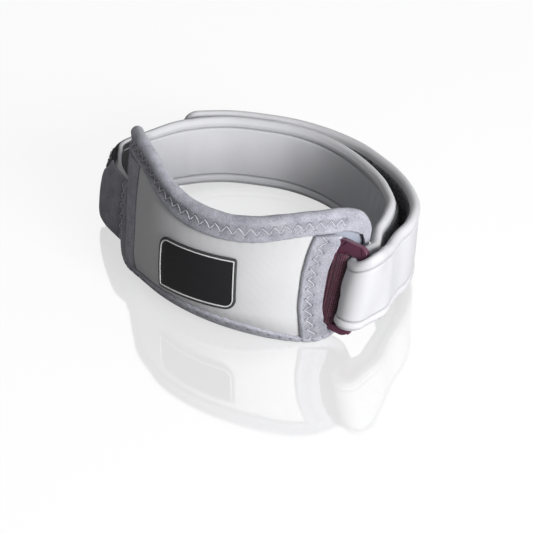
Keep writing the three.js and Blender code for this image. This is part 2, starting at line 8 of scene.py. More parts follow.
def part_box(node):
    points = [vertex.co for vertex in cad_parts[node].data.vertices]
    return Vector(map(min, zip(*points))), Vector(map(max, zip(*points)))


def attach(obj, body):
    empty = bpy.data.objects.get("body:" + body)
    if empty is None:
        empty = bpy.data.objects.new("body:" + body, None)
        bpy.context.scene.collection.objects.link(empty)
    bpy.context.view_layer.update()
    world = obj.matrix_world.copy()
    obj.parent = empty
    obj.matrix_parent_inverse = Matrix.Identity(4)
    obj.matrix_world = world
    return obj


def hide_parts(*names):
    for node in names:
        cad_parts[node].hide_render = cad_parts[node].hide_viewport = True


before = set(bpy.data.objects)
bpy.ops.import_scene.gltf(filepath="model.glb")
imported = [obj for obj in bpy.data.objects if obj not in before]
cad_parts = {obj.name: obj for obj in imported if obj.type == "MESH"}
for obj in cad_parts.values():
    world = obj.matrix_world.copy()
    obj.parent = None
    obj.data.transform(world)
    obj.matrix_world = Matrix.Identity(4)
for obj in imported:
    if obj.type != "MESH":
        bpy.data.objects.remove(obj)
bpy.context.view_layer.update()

bl_info = {
    "name": "Patellar knee brace",
    "version": (1, 0, 0),
    "blender": (4, 5, 0),
    "location": "View3D > Sidebar > Knee brace",
    "description": "Dresses the packed knee brace with cloth, stitches, pile, ring and label",
    "category": "Object",
}

MM = 0.001

# Sizes in millimetres, as the part is drawn: z = 0 at the strap's mid-height, the pad facing -Y
GAP = 0.3
WRAP_GAP = 0.45
PAD_RADIUS = 60
PAD_AXIS_Y = 11
PAD_LEAN = 0.07
PAD_ROLL = 0.02
CURL = {"start": -15, "height": 9, "depth": 4, "half_width": 54, "end_share": 0.12}
LEFT_END = {"start": 36, "end": 64, "outward": 4.2}
RIGHT_END = {"start": 44, "end": 60, "outward": -1.2}
BINDING_WALL = 0.7
FACE_TOP = 0.95
FACE_BOTTOM = 1.9
BODY_TOP = 2.2
BODY_THICKNESS = 2.3
BODY_PADDING = {"depth": 2.6, "half_width": 55, "half_height": 14}
BODY_EDGE = {"width": 1.5, "thinner": 0.8}
BODY_INSET = 2.6
EDGE_ROLL = 2.6
INNER_FLANGE = 5.5
BINDING_UNEVEN = {"wave": 0.1, "lump": 0.03, "lumps": 0.37, "edge_drop": 0.45}
# Painted shade in the binding's seam valley, stronger towards the top left where the light grazes, and in its
# needle holes and base dots
BINDING_SHADE = {"pull": 0.55, "less": 0.33, "hole": 0.85}
SEAM_PULL = {"more": 0.8, "to_left": (-15, 35), "up": (-5, 5)}
FLANGE_SEAM = {"at": 0.54, "half": 0.19, "dots_at": 0.74, "base_share": 0.3, "ends_at": 59, "least_flange": 4.8}
# valley_shade is painted shade in a seam's drawn-in valley
STITCH = {"margin": 0.5, "thread_reach": 0.75, "hole_radius": 0.42, "dot_radius": 0.5,
          "thread_dent": 0.15, "hole_dent": 0.3, "light_press": 0.7, "valley_shade": 0.25}
FACE_UNDERLAP = 2.1
FACE_LEFT = -48.5
FACE_RIGHT = 44.5
FACE_MIDDLE = (FACE_LEFT + FACE_RIGHT) / 2
FACE_CROWN = 1.7
FACE_CROWN_MARGIN = 0.6
FACE_GATHER = {"depth": 0.03, "slant": 0.3, "span": (0, 0.8, 1, 6)}

# Right half of the pad's outline: arc length from the middle, height, height of the binding's flange
PAD_OUTLINE = (
    (0, 23, 10), (11, 23.5, 10), (21, 25.2, 10), (31, 27.5, 9.5), (41, 29.3, 9.1),
    (51, 30, 9.1), (60, 29.2, 8.6), (66.5, 26.2, 8), (70, 21, 6.6), (70, 14, 3.4),
    (68.5, 3, 3.4), (66.5, -9, 3.8), (63.5, -19, 4.6), (58.5, -25.4, 4.6), (50, -28, 3.8),
    (43, -28, 3.8), (32, -28, 5.6), (21, -28, 7.4), (10, -28, 8.3), (0, -28, 8.4),
)

LEFT_HORN_RISE = {"rise": 1.1, "across": (36, 52), "up": (12, 28)}
BASE_SAG = {"depth": 1.3, "across": (28, 56), "down": (25, 28)}

# Side strips: part of the height, inner edge, outer edge, lift of the outer edge over ring and webbing
LEFT_STRIP_EDGES = (
    (0, 44.4, 51, 0), (0.33, 45.4, 53, 0), (0.56, 46.9, 55.5, 0), (0.78, 47.4, 57, 0), (1, 47, 57.5, 0),
)
RIGHT_STRIP_EDGES = (
    (0, 44.3, 55.2, 1.2), (0.1, 43.3, 53.6, 2.6), (0.22, 42.2, 51.4, 2.6), (0.4, 41.2, 50.3, 2.1),
    (0.6, 41.1, 50.5, 2.1), (0.75, 41.7, 51.3, 2.6), (0.86, 42.5, 52.6, 3), (0.95, 43.6, 54.2, 2.8),
    (1, 44.2, 54.8, 1.6),
)
# shade: painted shade over a whole strip, set on the left one, which faces away from the light
STRIPS = (
    {"name": "side_strip_left", "side": -1, "edges": LEFT_STRIP_EDGES, "sewn": 0,
     "depth": 0.8, "puff": 0.15, "rolled": 0.85, "roll": 0.45, "shade": 0.12},
    {"name": "side_strip_right", "side": 1, "edges": RIGHT_STRIP_EDGES, "sewn": 1,
     "depth": 0.5, "puff": 0.35, "rolled": 0.5, "roll": 0.1, "shade": 0},
)
STRIP_THICKNESS = 1.1
STRIP_SEAM_AT = 0.4
# hole_shade, shade and shade_width are painted shade: dark needle holes, and a shadow line along the strip's inner
# edge by the face panel
STRIP_EDGE = {"drop": 0.35, "from": 0.93, "hole_shade": 0.75, "shade": 0.5, "shade_width": 0.05}

LABEL = {"u": -1.5, "z": -4.8, "turn": 0.077, "width": 36.5, "height": 22.3, "thickness": 1.5, "edge": 0.7,
         "recess": 0.3, "recessed_at": 1.4, "edge_round": (-0.5, 0.75)}
LABEL_ROUND_CORNER = 5
LABEL_SHARP_CORNER = 1.2
LABEL_LINE = {"inset": 1.05, "width": 0.5, "height": 0.35}

STRAP_WIDTH = 31
STRAP_THICKNESS = 3.6
SEAM_FROM_EDGE = 4.4
SEAM_DEPTH = 0.7
SEAM_HALF_WIDTH = 0.455
STRAP_CROWN = 0.25
RIM_SWELL = {"height": 0.4, "from_seam": 2.1, "width": 1.4}
FREE_END_CORNER = 6
STRAP_END_ROUND = 1.8
STRAP_END_STEPS = np.array((0, 0.12, 0.35, 0.7, 1.1, 1.6, 2.2, 3, 4, 5))
# hollow is painted shade inside the bend by the sewn end, beside the pad's horn; pile_edge paints the pile side
# black there, the pile's own colour
STRAP_SHADE_AND_PILE = {"hollow": (34, 46), "pile_edge": (8, 14, 50, 66)}
FOLD_TILT_REACH = 20

# How the strap is shaped along its length. A span says where a move starts, is full, fades and ends
SEWN_END = {"drop": 2.8, "dropped": (15, 75), "dip": 4.6, "dipped": (-4, 26),
            "flat": 3.9, "flattened": (0, 18), "thin": 0.55}
LEFT_BEND_LEAN = {"inward": 4, "from_across": -8, "span": (4, 20, 34, 62)}
INNER_LEAN = {"inward": 2.7, "span": (-2, 42, 44, 78)}
FOLD_TOP = {"drop": 1.9, "dropped": (-17, -8.5, -4, 6.5), "rise": 2.6, "raised": (-4, 6.5, 7, 26)}
OUTER_FLARE = {"outward": 0.3, "span": (8, 20, 61, 96)}

# The strap's leg-side face in plan, and how far out the second layer's middle runs where there is one
STRAP_PATH = (
    (-54.8, -23.6, 0), (-64.6, -15.8, 0), (-70.8, -7.4, 0), (-70.4, 1, 0), (-65.6, 10.6, 0),
    (-58.6, 22.6, 0), (-56.2, 25.8, 6.65), (-52.4, 30.8, 6.1), (-44, 39, 5.8), (-33, 45, 5.7),
    (-20.5, 49.4, 5.8), (-7, 49.9, 6.6), (6, 46.8, 8), (16.4, 42.2, 8.5), (26.8, 36, 9.2),
    (35.8, 28.8, 9.5), (44.2, 20.8, 8.3), (47.9, 14.1, 7.8), (50.5, 6.5, 7.3), (52.1, -1.3, 6.3),
    (54.2, -9.4, 5.8), (55.6, -15.2, 5.8),
)
PATH_INTO_RING = (53.6, -20)

PILE = {"width": 24.6, "thickness": 0.6}
HOOK_LENGTH = 30
HOOK_FROM_END = 4
# shade and hole_shade are painted shade: the whole cover darker on the shaded left, and its needle holes dark
COVER = {"width": 29, "thickness": 1, "length": 23.5, "corner": 0.42, "past_end": 6, "lap": -0.4, "carry": 2,
         "step": 0.3, "seam": 0.8, "pad_at": -54, "pad_depth": 0.6, "swell": 0.35, "swell_width": 3,
         "edge_drop": 0.45, "edge_width": 0.8, "shade": 0.36, "hole_shade": 0.6}
TUFTS = {"stretch": 1.25, "jitter": 0.3, "from_ends": (0.5, 0.4), "from_sides": (0.3, 0.2)}

RING_BAR = 2.6
RING_ARM = 4.4
RING_EDGE = 0.5
RING_CORNER = 4.2
RING_OPENING_CORNER = 1.4
RING_OPENING_HEIGHT = STRAP_WIDTH + 1
RING_FAR_BAR = np.array((58.5, -26.8, 0))
RING_TURN = 0.03
RING_TILT = 0.1
RING_LEAN = 0.07
RING_SET = {"drop": 1.3, "deep": 0.8, "low": 1.6, "inner_edge": (12, 15, 17, 19),
            "reach": 3, "bend": -0.8, "ear_length": 3.5, "ear_height": (14.5, 16.5)}
WEBBING = {"low": -16.9, "high": 13.9, "thickness": 1, "root": 45.5, "leaves_low": 50, "leaves_high": 50.8,
           "depths": (1.2, 0.2, -0.9)}
SELVAGE = {"thinner": 0.2, "thin_width": 0.6, "bead": 0.08, "bead_at": 1.2, "bead_width": 0.6}
WEBBING_TURNS = (-112, -75, -38, 0, 38, 76, 112, 145)

STRAP_BUILD = STRAP_THICKNESS + STRAP_CROWN + GAP + PILE["thickness"]
RING_PITCH = RING_BAR + WRAP_GAP + WEBBING["thickness"] + GAP + STRAP_BUILD + GAP
RING_ALONG = np.array((math.cos(RING_TURN), math.sin(RING_TURN), 0))
RING_BACK = np.array((-RING_ALONG[1], RING_ALONG[0], 0))
RING_NEAR_BAR = RING_FAR_BAR - RING_PITCH * RING_ALONG
RING_MIDDLE = (RING_NEAR_BAR + RING_FAR_BAR) / 2
RING_RISE = RING_TILT * RING_ALONG + RING_LEAN * RING_BACK
FOLD_RADIUS = RING_BAR / 2 + GAP + PILE["thickness"] + GAP + STRAP_THICKNESS / 2

PAD_FOOT = {"y": -36, "z": -27.6}
STRAP_FOOT = {"y": 57.5, "z": -15.1}
FOOT_SLOPE = (STRAP_FOOT["z"] - PAD_FOOT["z"]) / (STRAP_FOOT["y"] - PAD_FOOT["y"])

# The brace leans back on to the floor; the ring, alike both ways round its middle, gives the shift
FLOOR_NORMAL = Vector((PAD_ROLL, -FOOT_SLOPE, 1)).normalized()
LEAN = np.array(FLOOR_NORMAL.rotation_difference(Vector((0, 0, 1))).to_matrix())
RING_BOX = np.array([list(corner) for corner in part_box("strap_ring")])
SHIFT = RING_BOX.mean(axis=0) / MM - LEAN @ RING_MIDDLE

# The camera, in the frame that the part is drawn in
CAMERA_AZIMUTH = math.radians(30)
CAMERA_ELEVATION = math.radians(29.62)
CAMERA_ROLL = math.radians(5.06)
CAMERA_PLACE = (436.5, -753.2, 472.2)

# Shares of the floor's looks, and of the room's light to the left, to the right, behind and in the floor's mirror
FLOOR = {"glow": 1.04, "lit": 0.8, "mirror": 0.24, "gloss": 0.06}
ROOM = {"left": 0.7, "right": 2, "behind": (0.35, 0.7), "card": (0.96, 0.98)}

CURVE_SAMPLES = 6001
# Rows and columns of the meshes
MESH = {"body": (116, 46), "face": (170, 74), "strip": (110, 40), "webbing": (120, 50), "label": (84, 60)}
NUDGE = 1e-4
rng = np.random.default_rng(11)


# Sizes and colours that a user would change

def colour(name, description, default):
    return bpy.props.FloatVectorProperty(
        name=name, description=description, default=default, subtype="COLOR", size=3, min=0, max=1)


def number(name, description, default, **details):
    return bpy.props.FloatProperty(name=name, description=description, default=default, **details)


def length(name, description, millimetres):
    return number(name, description, millimetres * MM, subtype="DISTANCE", unit="LENGTH")


class BraceCloth(bpy.types.PropertyGroup):
    velour_light: colour("Velour, light", "Tips of the velour's nap", (0.53, 0.53, 0.595))
    velour_dark: colour("Velour, dark", "Depth of the velour's nap", (0.27, 0.27, 0.32))
    face_colour: colour("Face", "Knitted face panel", (0.62, 0.62, 0.635))
    lining_colour: colour("Lining", "Knitted lining of the pad", (0.36, 0.39, 0.46))
    strap_colour: colour("Strap", "Smooth knit of the strap", (0.61, 0.61, 0.635))
    pile_colour: colour("Pile", "Loop pile and hook tape", (0.1, 0.1, 0.115))
    webbing_light: colour("Webbing, light", "Raised yarns of the webbing", (0.21, 0.055, 0.1))
    webbing_dark: colour("Webbing, dark", "Sunk yarns of the webbing", (0.055, 0.013, 0.027))
    wrinkle_depth: length("Wrinkles", "Depth of the wrinkles inside the strap's bend", 0.45)


class BraceSewing(bpy.types.PropertyGroup):
    thread_colour: colour("Thread", "Thread of the zigzag seams", (0.68, 0.68, 0.73))
    thread_diameter: length("Thread diameter", "Diameter of the sewing thread", 0.34)
    zigzag_pitch: length("Zigzag pitch", "Length of one zigzag along the seam", 4.6)
    zigzag_width: length("Zigzag width", "Width of the zigzag across the seam", 3)
    press: length("Seam depth", "How far a seam draws the cloth in", 0.55)
    puff: length("Puff", "How far the cloth stands up beside the stitches", 0.45)


class BraceFittings(bpy.types.PropertyGroup):
    ring_colour: colour("Ring", "Moulded ring", (0.12, 0.03, 0.065))
    label_colour: colour("Label", "Moulded rubber of the label", (0.011, 0.011, 0.013))
    rim_colour: colour("Label rim", "Raised rim of the label", (0.05, 0.05, 0.054))
    line_colour: colour("Label line", "Thin line inside the label's rim", (0.75, 0.75, 0.75))


class BraceStage(bpy.types.PropertyGroup):
    floor_colour: colour("Floor", "Pale floor", (0.93, 0.93, 0.93))
    room_light: number("Room light", "Strength of the light of the room, most at the right", 0.2, min=0)
    backdrop: number("Backdrop", "Strength of the white backdrop behind the brace", 0.2, min=0)
    bounce: number("Bounce", "Share of light that the floor throws back on the brace", 0.3, min=0, max=1)
    key_power: number("Key light", "Power of the soft box at the right", 15.8, unit="POWER")
    top_power: number("Top light", "Power of the soft box overhead", 0.8, unit="POWER")
    lens: number("Lens", "Focal length of the camera in millimetres", 165.1, unit="CAMERA")


# Curves and surfaces that the brace is drawn on

def smooth(value, low, high):
    part = np.clip((value - low) / (high - low), 0, 1)
    return part * part * (3 - 2 * part)


def fade(value, start, full, fades, end):
    """Rises smoothly from 0 to 1, and falls back to 0"""
    return smooth(value, start, full) * (1 - smooth(value, fades, end))


def unit(vectors):
    return vectors / np.linalg.norm(vectors, axis=-1, keepdims=True)


def zigzag(turns):
    """A wave of straight lines from -1 to 1, one up and down for each whole turn"""
    return 4 * np.abs(turns - np.floor(turns + 0.5)) - 1


class SmoothCurve:
    """A smooth curve through points, drawn as the part's source draws it"""

    def __init__(self, points, closed=False):
        points = np.array(points, float)
        if closed:
            rows = [np.roll(points, shift, axis=0) for shift in (1, 0, -1, -2)]
        else:
            ends = np.vstack([2 * points[0] - points[1], points, 2 * points[-1] - points[-2]])
            rows = [ends[:-3], ends[1:-2], ends[2:-1], ends[3:]]
        before, start, end, after = rows
        first, middle, last = (
            np.sqrt(np.linalg.norm(b - a, axis=1))[:, None] for a, b in zip(rows, rows[1:]))
        leave = (start - before) / first - (end - before) / (first + middle) + (end - start) / middle
        arrive = (end - start) / middle - (after - start) / (middle + last) + (after - end) / last
        leave = leave * middle
        arrive = arrive * middle
        bend = 3 * (end - start) - 2 * leave - arrive
        twist = 2 * (start - end) + leave + arrive
        self.terms = (start, leave, bend, twist)
        self.spans = len(start)
        self.share = np.linspace(0, 1, CURVE_SAMPLES)
        steps = np.linalg.norm(np.diff(self.at(self.share), axis=0), axis=1)
        self.travel = np.concatenate([[0], np.cumsum(steps)])
        self.length = self.travel[-1]

    def at(self, share):
        place = np.clip(share, 0, 1) * self.spans
        span = np.minimum(place.astype(int), self.spans - 1)
        part = (place - span)[..., None]
        start, leave, bend, twist = (term[span] for term in self.terms)
        return start + part * (leave + part * (bend + part * twist))

    def heading(self, share):
        return unit(self.at(share + NUDGE) - self.at(share - NUDGE))

    def share_at(self, travel):
        return np.interp(travel, self.travel, self.share)


def in_row(points):
    """Points as the part is drawn, in millimetres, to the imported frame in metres"""
    return (np.asarray(points) @ LEAN.T + SHIFT) * MM


def rested(points, wall=0):
    """Cloth is pressed flat where it meets the floor"""
    floor = PAD_FOOT["z"] + (points[..., 1] - PAD_FOOT["y"]) * FOOT_SLOPE - PAD_ROLL * points[..., 0]
    points[..., 2] = np.maximum(points[..., 2], floor + wall)
    return points


def pad_point(u, z, depth):
    """The point at arc length u and height z, depth below the pad's outer surface"""
    u, z, depth = np.broadcast_arrays(np.asarray(u, float), z, depth)
    across = np.abs(u)
    left = LEFT_END["outward"] * smooth(across, LEFT_END["start"], LEFT_END["end"])
    right = RIGHT_END["outward"] * smooth(across, RIGHT_END["start"], RIGHT_END["end"])
    curl = np.maximum(0, (CURL["start"] - z) / CURL["height"])
    curl_depth = CURL["depth"] * np.maximum(CURL["end_share"], 1 - (u / CURL["half_width"]) ** 2)
    slope = 2 * curl_depth * curl / CURL["height"]
    stretch = np.hypot(1, slope)
    reach = PAD_RADIUS + np.where(u < 0, left, right) - curl_depth * curl * curl - depth / stretch
    height = z + depth * slope / stretch
    x = reach * np.sin(u / PAD_RADIUS)
    y = PAD_AXIS_Y - reach * np.cos(u / PAD_RADIUS)
    return np.stack([x, y + PAD_LEAN * height, height - PAD_ROLL * x], axis=-1)


def pad_outward(u, z):
    return unit(pad_point(u, z, -1) - pad_point(u, z, 0))


def outline_inward(outline):
    along = unit(np.roll(outline, -1, axis=0)[:, :2] - np.roll(outline, 1, axis=0)[:, :2])
    return np.stack([along[:, 1], -along[:, 0]], axis=1)


class Heights:
    """Lowest and highest point of a closed outline at any arc length"""

    def __init__(self, outline):
        start, end = outline, np.roll(outline, -1, axis=0)
        self.reach = outline[:, 0].max()
        self.u = np.linspace(-self.reach + 0.4, self.reach - 0.4, 601)
        spans = []
        for u in self.u:
            crossed = (start[:, 0] <= u) != (end[:, 0] <= u)
            a, b = start[crossed], end[crossed]
            z = a[:, 1] + (u - a[:, 0]) * (b[:, 1] - a[:, 1]) / (b[:, 0] - a[:, 0])
            spans.append((z.min(), z.max()))
        self.lows, self.highs = np.array(spans).T

    def span(self, u):
        return np.interp(u, self.u, self.lows), np.interp(u, self.u, self.highs)


def pad_outline():
    """The pad's edge all round: its base sags a little, and its left horn is higher than its right one"""
    right = []
    for u, z, flange in PAD_OUTLINE:
        sag = BASE_SAG["depth"] * smooth(-z, *BASE_SAG["down"]) * (1 - smooth(u, *BASE_SAG["across"]))
        right.append((u, z - sag, flange))
    left = []
    for u, z, flange in right[-2:0:-1]:
        rise = LEFT_HORN_RISE["rise"] * smooth(u, *LEFT_HORN_RISE["across"]) * smooth(z, *LEFT_HORN_RISE["up"])
        left.append((-u, z + rise, flange + rise))
    return SmoothCurve(right + left, closed=True)


OUTLINE_CURVE = pad_outline()
OUTLINE_STEP = 0.46
OUTLINE_TRAVEL = np.arange(0, OUTLINE_CURVE.length - OUTLINE_STEP / 2, OUTLINE_STEP)
OUTLINE = OUTLINE_CURVE.at(OUTLINE_CURVE.share_at(OUTLINE_TRAVEL))
INWARD = outline_inward(OUTLINE)
FLANGE_EDGE = OUTLINE[:, :2] + INWARD * OUTLINE[:, 2:]
EDGE_HEIGHTS = Heights(OUTLINE)
FLANGE_HEIGHTS = Heights(FLANGE_EDGE)
BODY_HEIGHTS = Heights(OUTLINE[:, :2] + INWARD * BODY_INSET)


def face_depth(u, z):
    bottom, top = FLANGE_HEIGHTS.span(u)
    low = bottom + FACE_CROWN_MARGIN
    part = np.clip((z - low) / (top - FACE_CROWN_MARGIN - low), 0, 1)
    across = np.maximum(0, 1 - ((u - FACE_MIDDLE) / (FACE_RIGHT - FACE_MIDDLE)) ** 2)
    return FACE_TOP - FACE_CROWN * across * 4 * part * (1 - part)


def on_face(u, z, lift):
    return pad_point(u, z, face_depth(u, z) - GAP - lift)


def strap_curve():
    """The strap's middle line in plan: inner layer, fold round the ring's far bar, outer layer"""
    path = np.array(STRAP_PATH)
    face = SmoothCurve(path[:, :2])
    knots = np.arange(len(path)) / (len(path) - 1)
    along = face.heading(knots)
    outward = np.stack([-along[:, 1], along[:, 0]], axis=1)
    half = STRAP_THICKNESS / 2
    inner = path[:, :2] + outward * half
    into = [(PATH_INTO_RING[0] + half, PATH_INTO_RING[1])]
    angles = np.linspace(math.pi, 2 * math.pi, 7)
    fold = RING_FAR_BAR[:2] + FOLD_RADIUS * np.stack([np.cos(angles), np.sin(angles)], axis=1)
    doubled = path[:, 2] > 0
    outer = (path[:, :2] + outward * (half + path[:, 2:]))[doubled][::-1]
    return SmoothCurve(np.vstack([inner, into, fold, outer]))


STRAP_CURVE = strap_curve()
STRAP_LENGTH = STRAP_CURVE.length


def foremost():
    """How far along the strap is where it turns round the front of the ring's far bar"""
    travel = np.arange(0, STRAP_LENGTH)
    return float(travel[STRAP_CURVE.at(STRAP_CURVE.share_at(travel))[:, 1].argmin()])


FOLD_AT = foremost()


def on_strap(travel, across, out):
    """A point at travel along the strap, across its width, out from its middle to the pile side"""
    travel, across, out = np.broadcast_arrays(np.asarray(travel, float), across, out)
    share = STRAP_CURVE.share_at(travel)
    middle = STRAP_CURVE.at(share)
    along = STRAP_CURVE.heading(share)
    past = travel - FOLD_AT
    edge = across / (STRAP_WIDTH / 2)
    away = (np.linalg.norm(middle - RING_FAR_BAR[:2], axis=-1) - 2 * FOLD_RADIUS) / FOLD_TILT_REACH
    tilt = (1 - smooth(away, 0, 1)) * (1 - smooth(past, *OUTER_FLARE["span"][:2])) * across
    out = out + OUTER_FLARE["outward"] * fade(past, *OUTER_FLARE["span"]) * edge
    out = out - INNER_LEAN["inward"] * fade(-past, *INNER_LEAN["span"]) * edge
    in_strap = np.clip(out, -STRAP_THICKNESS / 2, STRAP_THICKNESS / 2)
    flattened = 1 - smooth(travel, *SEWN_END["flattened"])
    out = out - flattened * (SEWN_END["flat"] + SEWN_END["thin"] * in_strap)
    low = LEFT_BEND_LEAN["from_across"]
    high = np.maximum(0, across - low) / (STRAP_WIDTH / 2 - low)
    out = out - LEFT_BEND_LEAN["inward"] * fade(travel, *LEFT_BEND_LEAN["span"]) * high ** 2
    sunk = SEWN_END["drop"] * (1 - smooth(travel, *SEWN_END["dropped"]))
    sunk = sunk + SEWN_END["dip"] * (1 - smooth(travel, *SEWN_END["dipped"]))
    top = FOLD_TOP["drop"] * fade(past, *FOLD_TOP["dropped"]) - FOLD_TOP["rise"] * fade(past, *FOLD_TOP["raised"])
    sunk = sunk + top * np.maximum(0, edge)
    x = middle[..., 0] - along[..., 1] * out + RING_RISE[0] * tilt
    y = middle[..., 1] + along[..., 0] * out + RING_RISE[1] * tilt
    return rested(np.stack([x, y, across - sunk], axis=-1))


# Meshes

def new_piece(name, points, faces, flat=None, angle=40, seam=None):
    """An object with its place in its mesh, a map of its flat cloth in metres, and its mask of painted shade,
    which on the strap also marks its black pile side
    """
    mesh = bpy.data.meshes.new(name)
    mesh.from_pydata(np.asarray(points).reshape(-1, 3).tolist(), [], faces)
    if flat is not None:
        loops = np.empty(len(mesh.loops), int)
        mesh.loops.foreach_get("vertex_index", loops)
        layer = mesh.uv_layers.new(name="cloth")
        layer.data.foreach_set("uv", (np.asarray(flat).reshape(-1, 2)[loops] * MM).ravel())
    if seam is not None:
        # The seam attribute holds painted shade: seam valleys, needle holes, edges, hollows and whole pieces on
        # the shaded left; on the strap also its black pile side
        shade = mesh.attributes.new("seam", "FLOAT", "POINT")
        shade.data.foreach_set("value", np.asarray(seam, np.float32).ravel())
    mesh.validate()
    piece = bpy.data.objects.new(name, mesh)
    bpy.context.collection.objects.link(piece)
    pick(piece)
    bpy.ops.object.shade_smooth_by_angle(angle=math.radians(angle))
    return piece


def pick(piece):
    bpy.ops.object.select_all(action="DESELECT")
    piece.select_set(True)
    bpy.context.view_layer.objects.active = piece


def quads(grid):
    """Faces between the rows and columns of a grid of point numbers"""
    corners = [grid[..., :-1, :-1], grid[..., :-1, 1:], grid[..., 1:, 1:], grid[..., 1:, :-1]]
    return np.stack(corners, axis=-1).reshape(-1, 4)


def outwards(points, faces):
    """The faces, turned round if they face inwards"""
    a, b, c, d = (points[faces[:, i]] for i in range(4))
    volume = (np.cross(b, c) * a).sum() + (np.cross(c, d) * a).sum()
    return faces[:, ::-1] if volume < 0 else faces


def skin(name, sections, flat, closed=False, angle=40, seam=None):
    """A closed skin over equal closed sections, which are joined into a loop or closed by end faces"""
    rows, columns, _ = sections.shape
    points = in_row(sections).reshape(-1, 3)
    index = np.arange(rows * columns).reshape(rows, columns)
    grid = np.vstack([index, index[:1]]) if closed else index
    faces = quads(np.hstack([grid, grid[:, :1]]))
    if not closed:
        first, last = index[0], index[-1]
        ahead = np.arange(columns // 2 - 1)
        back = columns - 1 - ahead
        start = np.stack([first[back], first[back - 1], first[ahead + 1], first[ahead]], axis=-1)
        end = np.stack([last[ahead], last[ahead + 1], last[back - 1], last[back]], axis=-1)
        faces = np.vstack([faces, start, end])
    return new_piece(name, points, outwards(points, faces).tolist(), flat, angle, seam)


def layer(name, over, under, flat, closed=False, seam=None):
    """A closed layer of cloth between two grids of points, with the mask of painted shade on its upper side"""
    sections = np.concatenate([over, under[:, ::-1]], axis=1)
    if seam is not None:
        seam = np.concatenate([seam, np.zeros(under.shape[:2])], axis=1)
    return skin(name, sections, np.concatenate([flat, flat[:, ::-1]], axis=1), closed, seam=seam)


def seam_valley(away, half):
    """How far a zigzag seam of this half width draws the cloth in, 1 at its middle"""
    return np.exp(-(away / (half + STITCH["margin"])) ** 2)


def stitched(travel, across, pitch, middle, half):
    """How near a place is to a zigzag seam's valley, to its thread and to its needle holes, each 0 to 1"""
    thread = np.exp(-((across - middle - half * zigzag(travel / pitch)) / STITCH["thread_reach"]) ** 2)
    hole = np.round(travel / pitch * 2) / 2
    away = np.hypot(travel - hole * pitch, across - middle - half * zigzag(hole))
    return seam_valley(across - middle, half), thread, np.exp(-(away / STITCH["hole_radius"]) ** 2)


def dented(thread, hole):
    """How far the thread and the needle holes sink into the cloth"""
    return STITCH["thread_dent"] * thread + STITCH["hole_dent"] * hole


def threads(name, starts, ends, outward, radius, rise, sides=6, steps=6):
    """Short bowed threads whose ends dive into the cloth"""
    side = np.cross(outward, unit(ends - starts))
    part = np.linspace(0, 1, steps + 1)
    bow = rise * np.sin(math.pi * part) ** 0.6 - radius
    middle = starts[:, None] + (ends - starts)[:, None] * part[:, None] + outward[:, None] * bow[:, None]
    turn = np.arange(sides) * 2 * math.pi / sides
    ring = side[:, None] * np.cos(turn)[:, None] + outward[:, None] * np.sin(turn)[:, None]
    points = middle[:, :, None] + radius * ring[:, None]
    index = np.arange(len(starts) * (steps + 1) * sides).reshape(-1, steps + 1, sides)
    faces = outwards(points.reshape(-1, 3), quads(np.concatenate([index, index[:, :, :1]], axis=2)))
    caps = np.concatenate([index[:, 0, ::-1], index[:, -1]])
    return new_piece(name, in_row(points), faces.tolist() + caps.tolist(), angle=70)


def zigzag_threads(name, surface, turns, sewing):
    """Stitches along a zigzag. surface gives point, outward direction and whether it is sewn at turns along it"""
    places = np.arange(4 * turns + 1) / 4
    points, outward, sewn = surface(places)
    radius = sewing.thread_diameter / MM / 2
    kept = np.broadcast_to(sewn, places.shape)[1:]
    stitches = threads(name, points[:-1][kept], points[1:][kept], outward[:-1][kept], radius, radius * 1.1)
    settle(stitches, "velour", thread_material(sewing))
    return stitches


def settle(piece, slot, material, *nodes):
    """The piece moves with the brace, has its finish and stands for its nodes"""
    piece.data.materials.append(material)
    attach(piece, "root")
    if nodes:
        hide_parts(*nodes)


# Materials

def add_node(tree, kind, **values):
    node = tree.nodes.new(kind)
    for name, value in values.items():
        setattr(node, name, value)
    return node


def plug(tree, socket, value):
    """Links a socket to another one, or sets its value"""
    if isinstance(value, bpy.types.NodeSocket):
        tree.links.new(value, socket)
    else:
        socket.default_value = value


def feed(tree, node, **inputs):
    """Sets or links a node's inputs by name, with _ for a space"""
    for name, value in inputs.items():
        plug(tree, node.inputs[name.replace("_", " ")], value)


def math_node(tree, operation, *values):
    node = add_node(tree, "ShaderNodeMath", operation=operation)
    for socket, value in zip(node.inputs, values):
        plug(tree, socket, value)
    return node.outputs[0]


def mix_node(tree, share, first, second):
    node = add_node(tree, "ShaderNodeMix", data_type="RGBA")
    for place, value in ((0, share), (6, first), (7, second)):
        plug(tree, node.inputs[place], value)
    return node.outputs[2]


def range_node(tree, value, low, high, to_low=0.0, to_high=1.0):
    """Carries a value between low and high over to between to_low and to_high"""
    node = add_node(tree, "ShaderNodeMapRange")
    feed(tree, node, Value=value, From_Min=low, From_Max=high, To_Min=to_low, To_Max=to_high)
    return node.outputs[0]


def sine_node(tree, turns):
    return math_node(tree, "SINE", math_node(tree, "MULTIPLY", turns, 2 * math.pi))


def axes_of(tree, vector):
    node = add_node(tree, "ShaderNodeSeparateXYZ")
    feed(tree, node, Vector=vector)
    return node.outputs


def noise_node(tree, vector, scale, detail):
    node = add_node(tree, "ShaderNodeTexNoise")
    feed(tree, node, Vector=vector, Scale=scale, Detail=detail)
    return node.outputs[0]


def new_group(name, inputs, outputs):
    tree = bpy.data.node_groups.new(name, "ShaderNodeTree")
    for label, kind, default in inputs:
        socket = tree.interface.new_socket(label, in_out="INPUT", socket_type=f"NodeSocket{kind}")
        if default is not None:
            socket.default_value = default
    for label, kind in outputs:
        tree.interface.new_socket(label, in_out="OUTPUT", socket_type=f"NodeSocket{kind}")
    return tree, add_node(tree, "NodeGroupInput"), add_node(tree, "NodeGroupOutput")


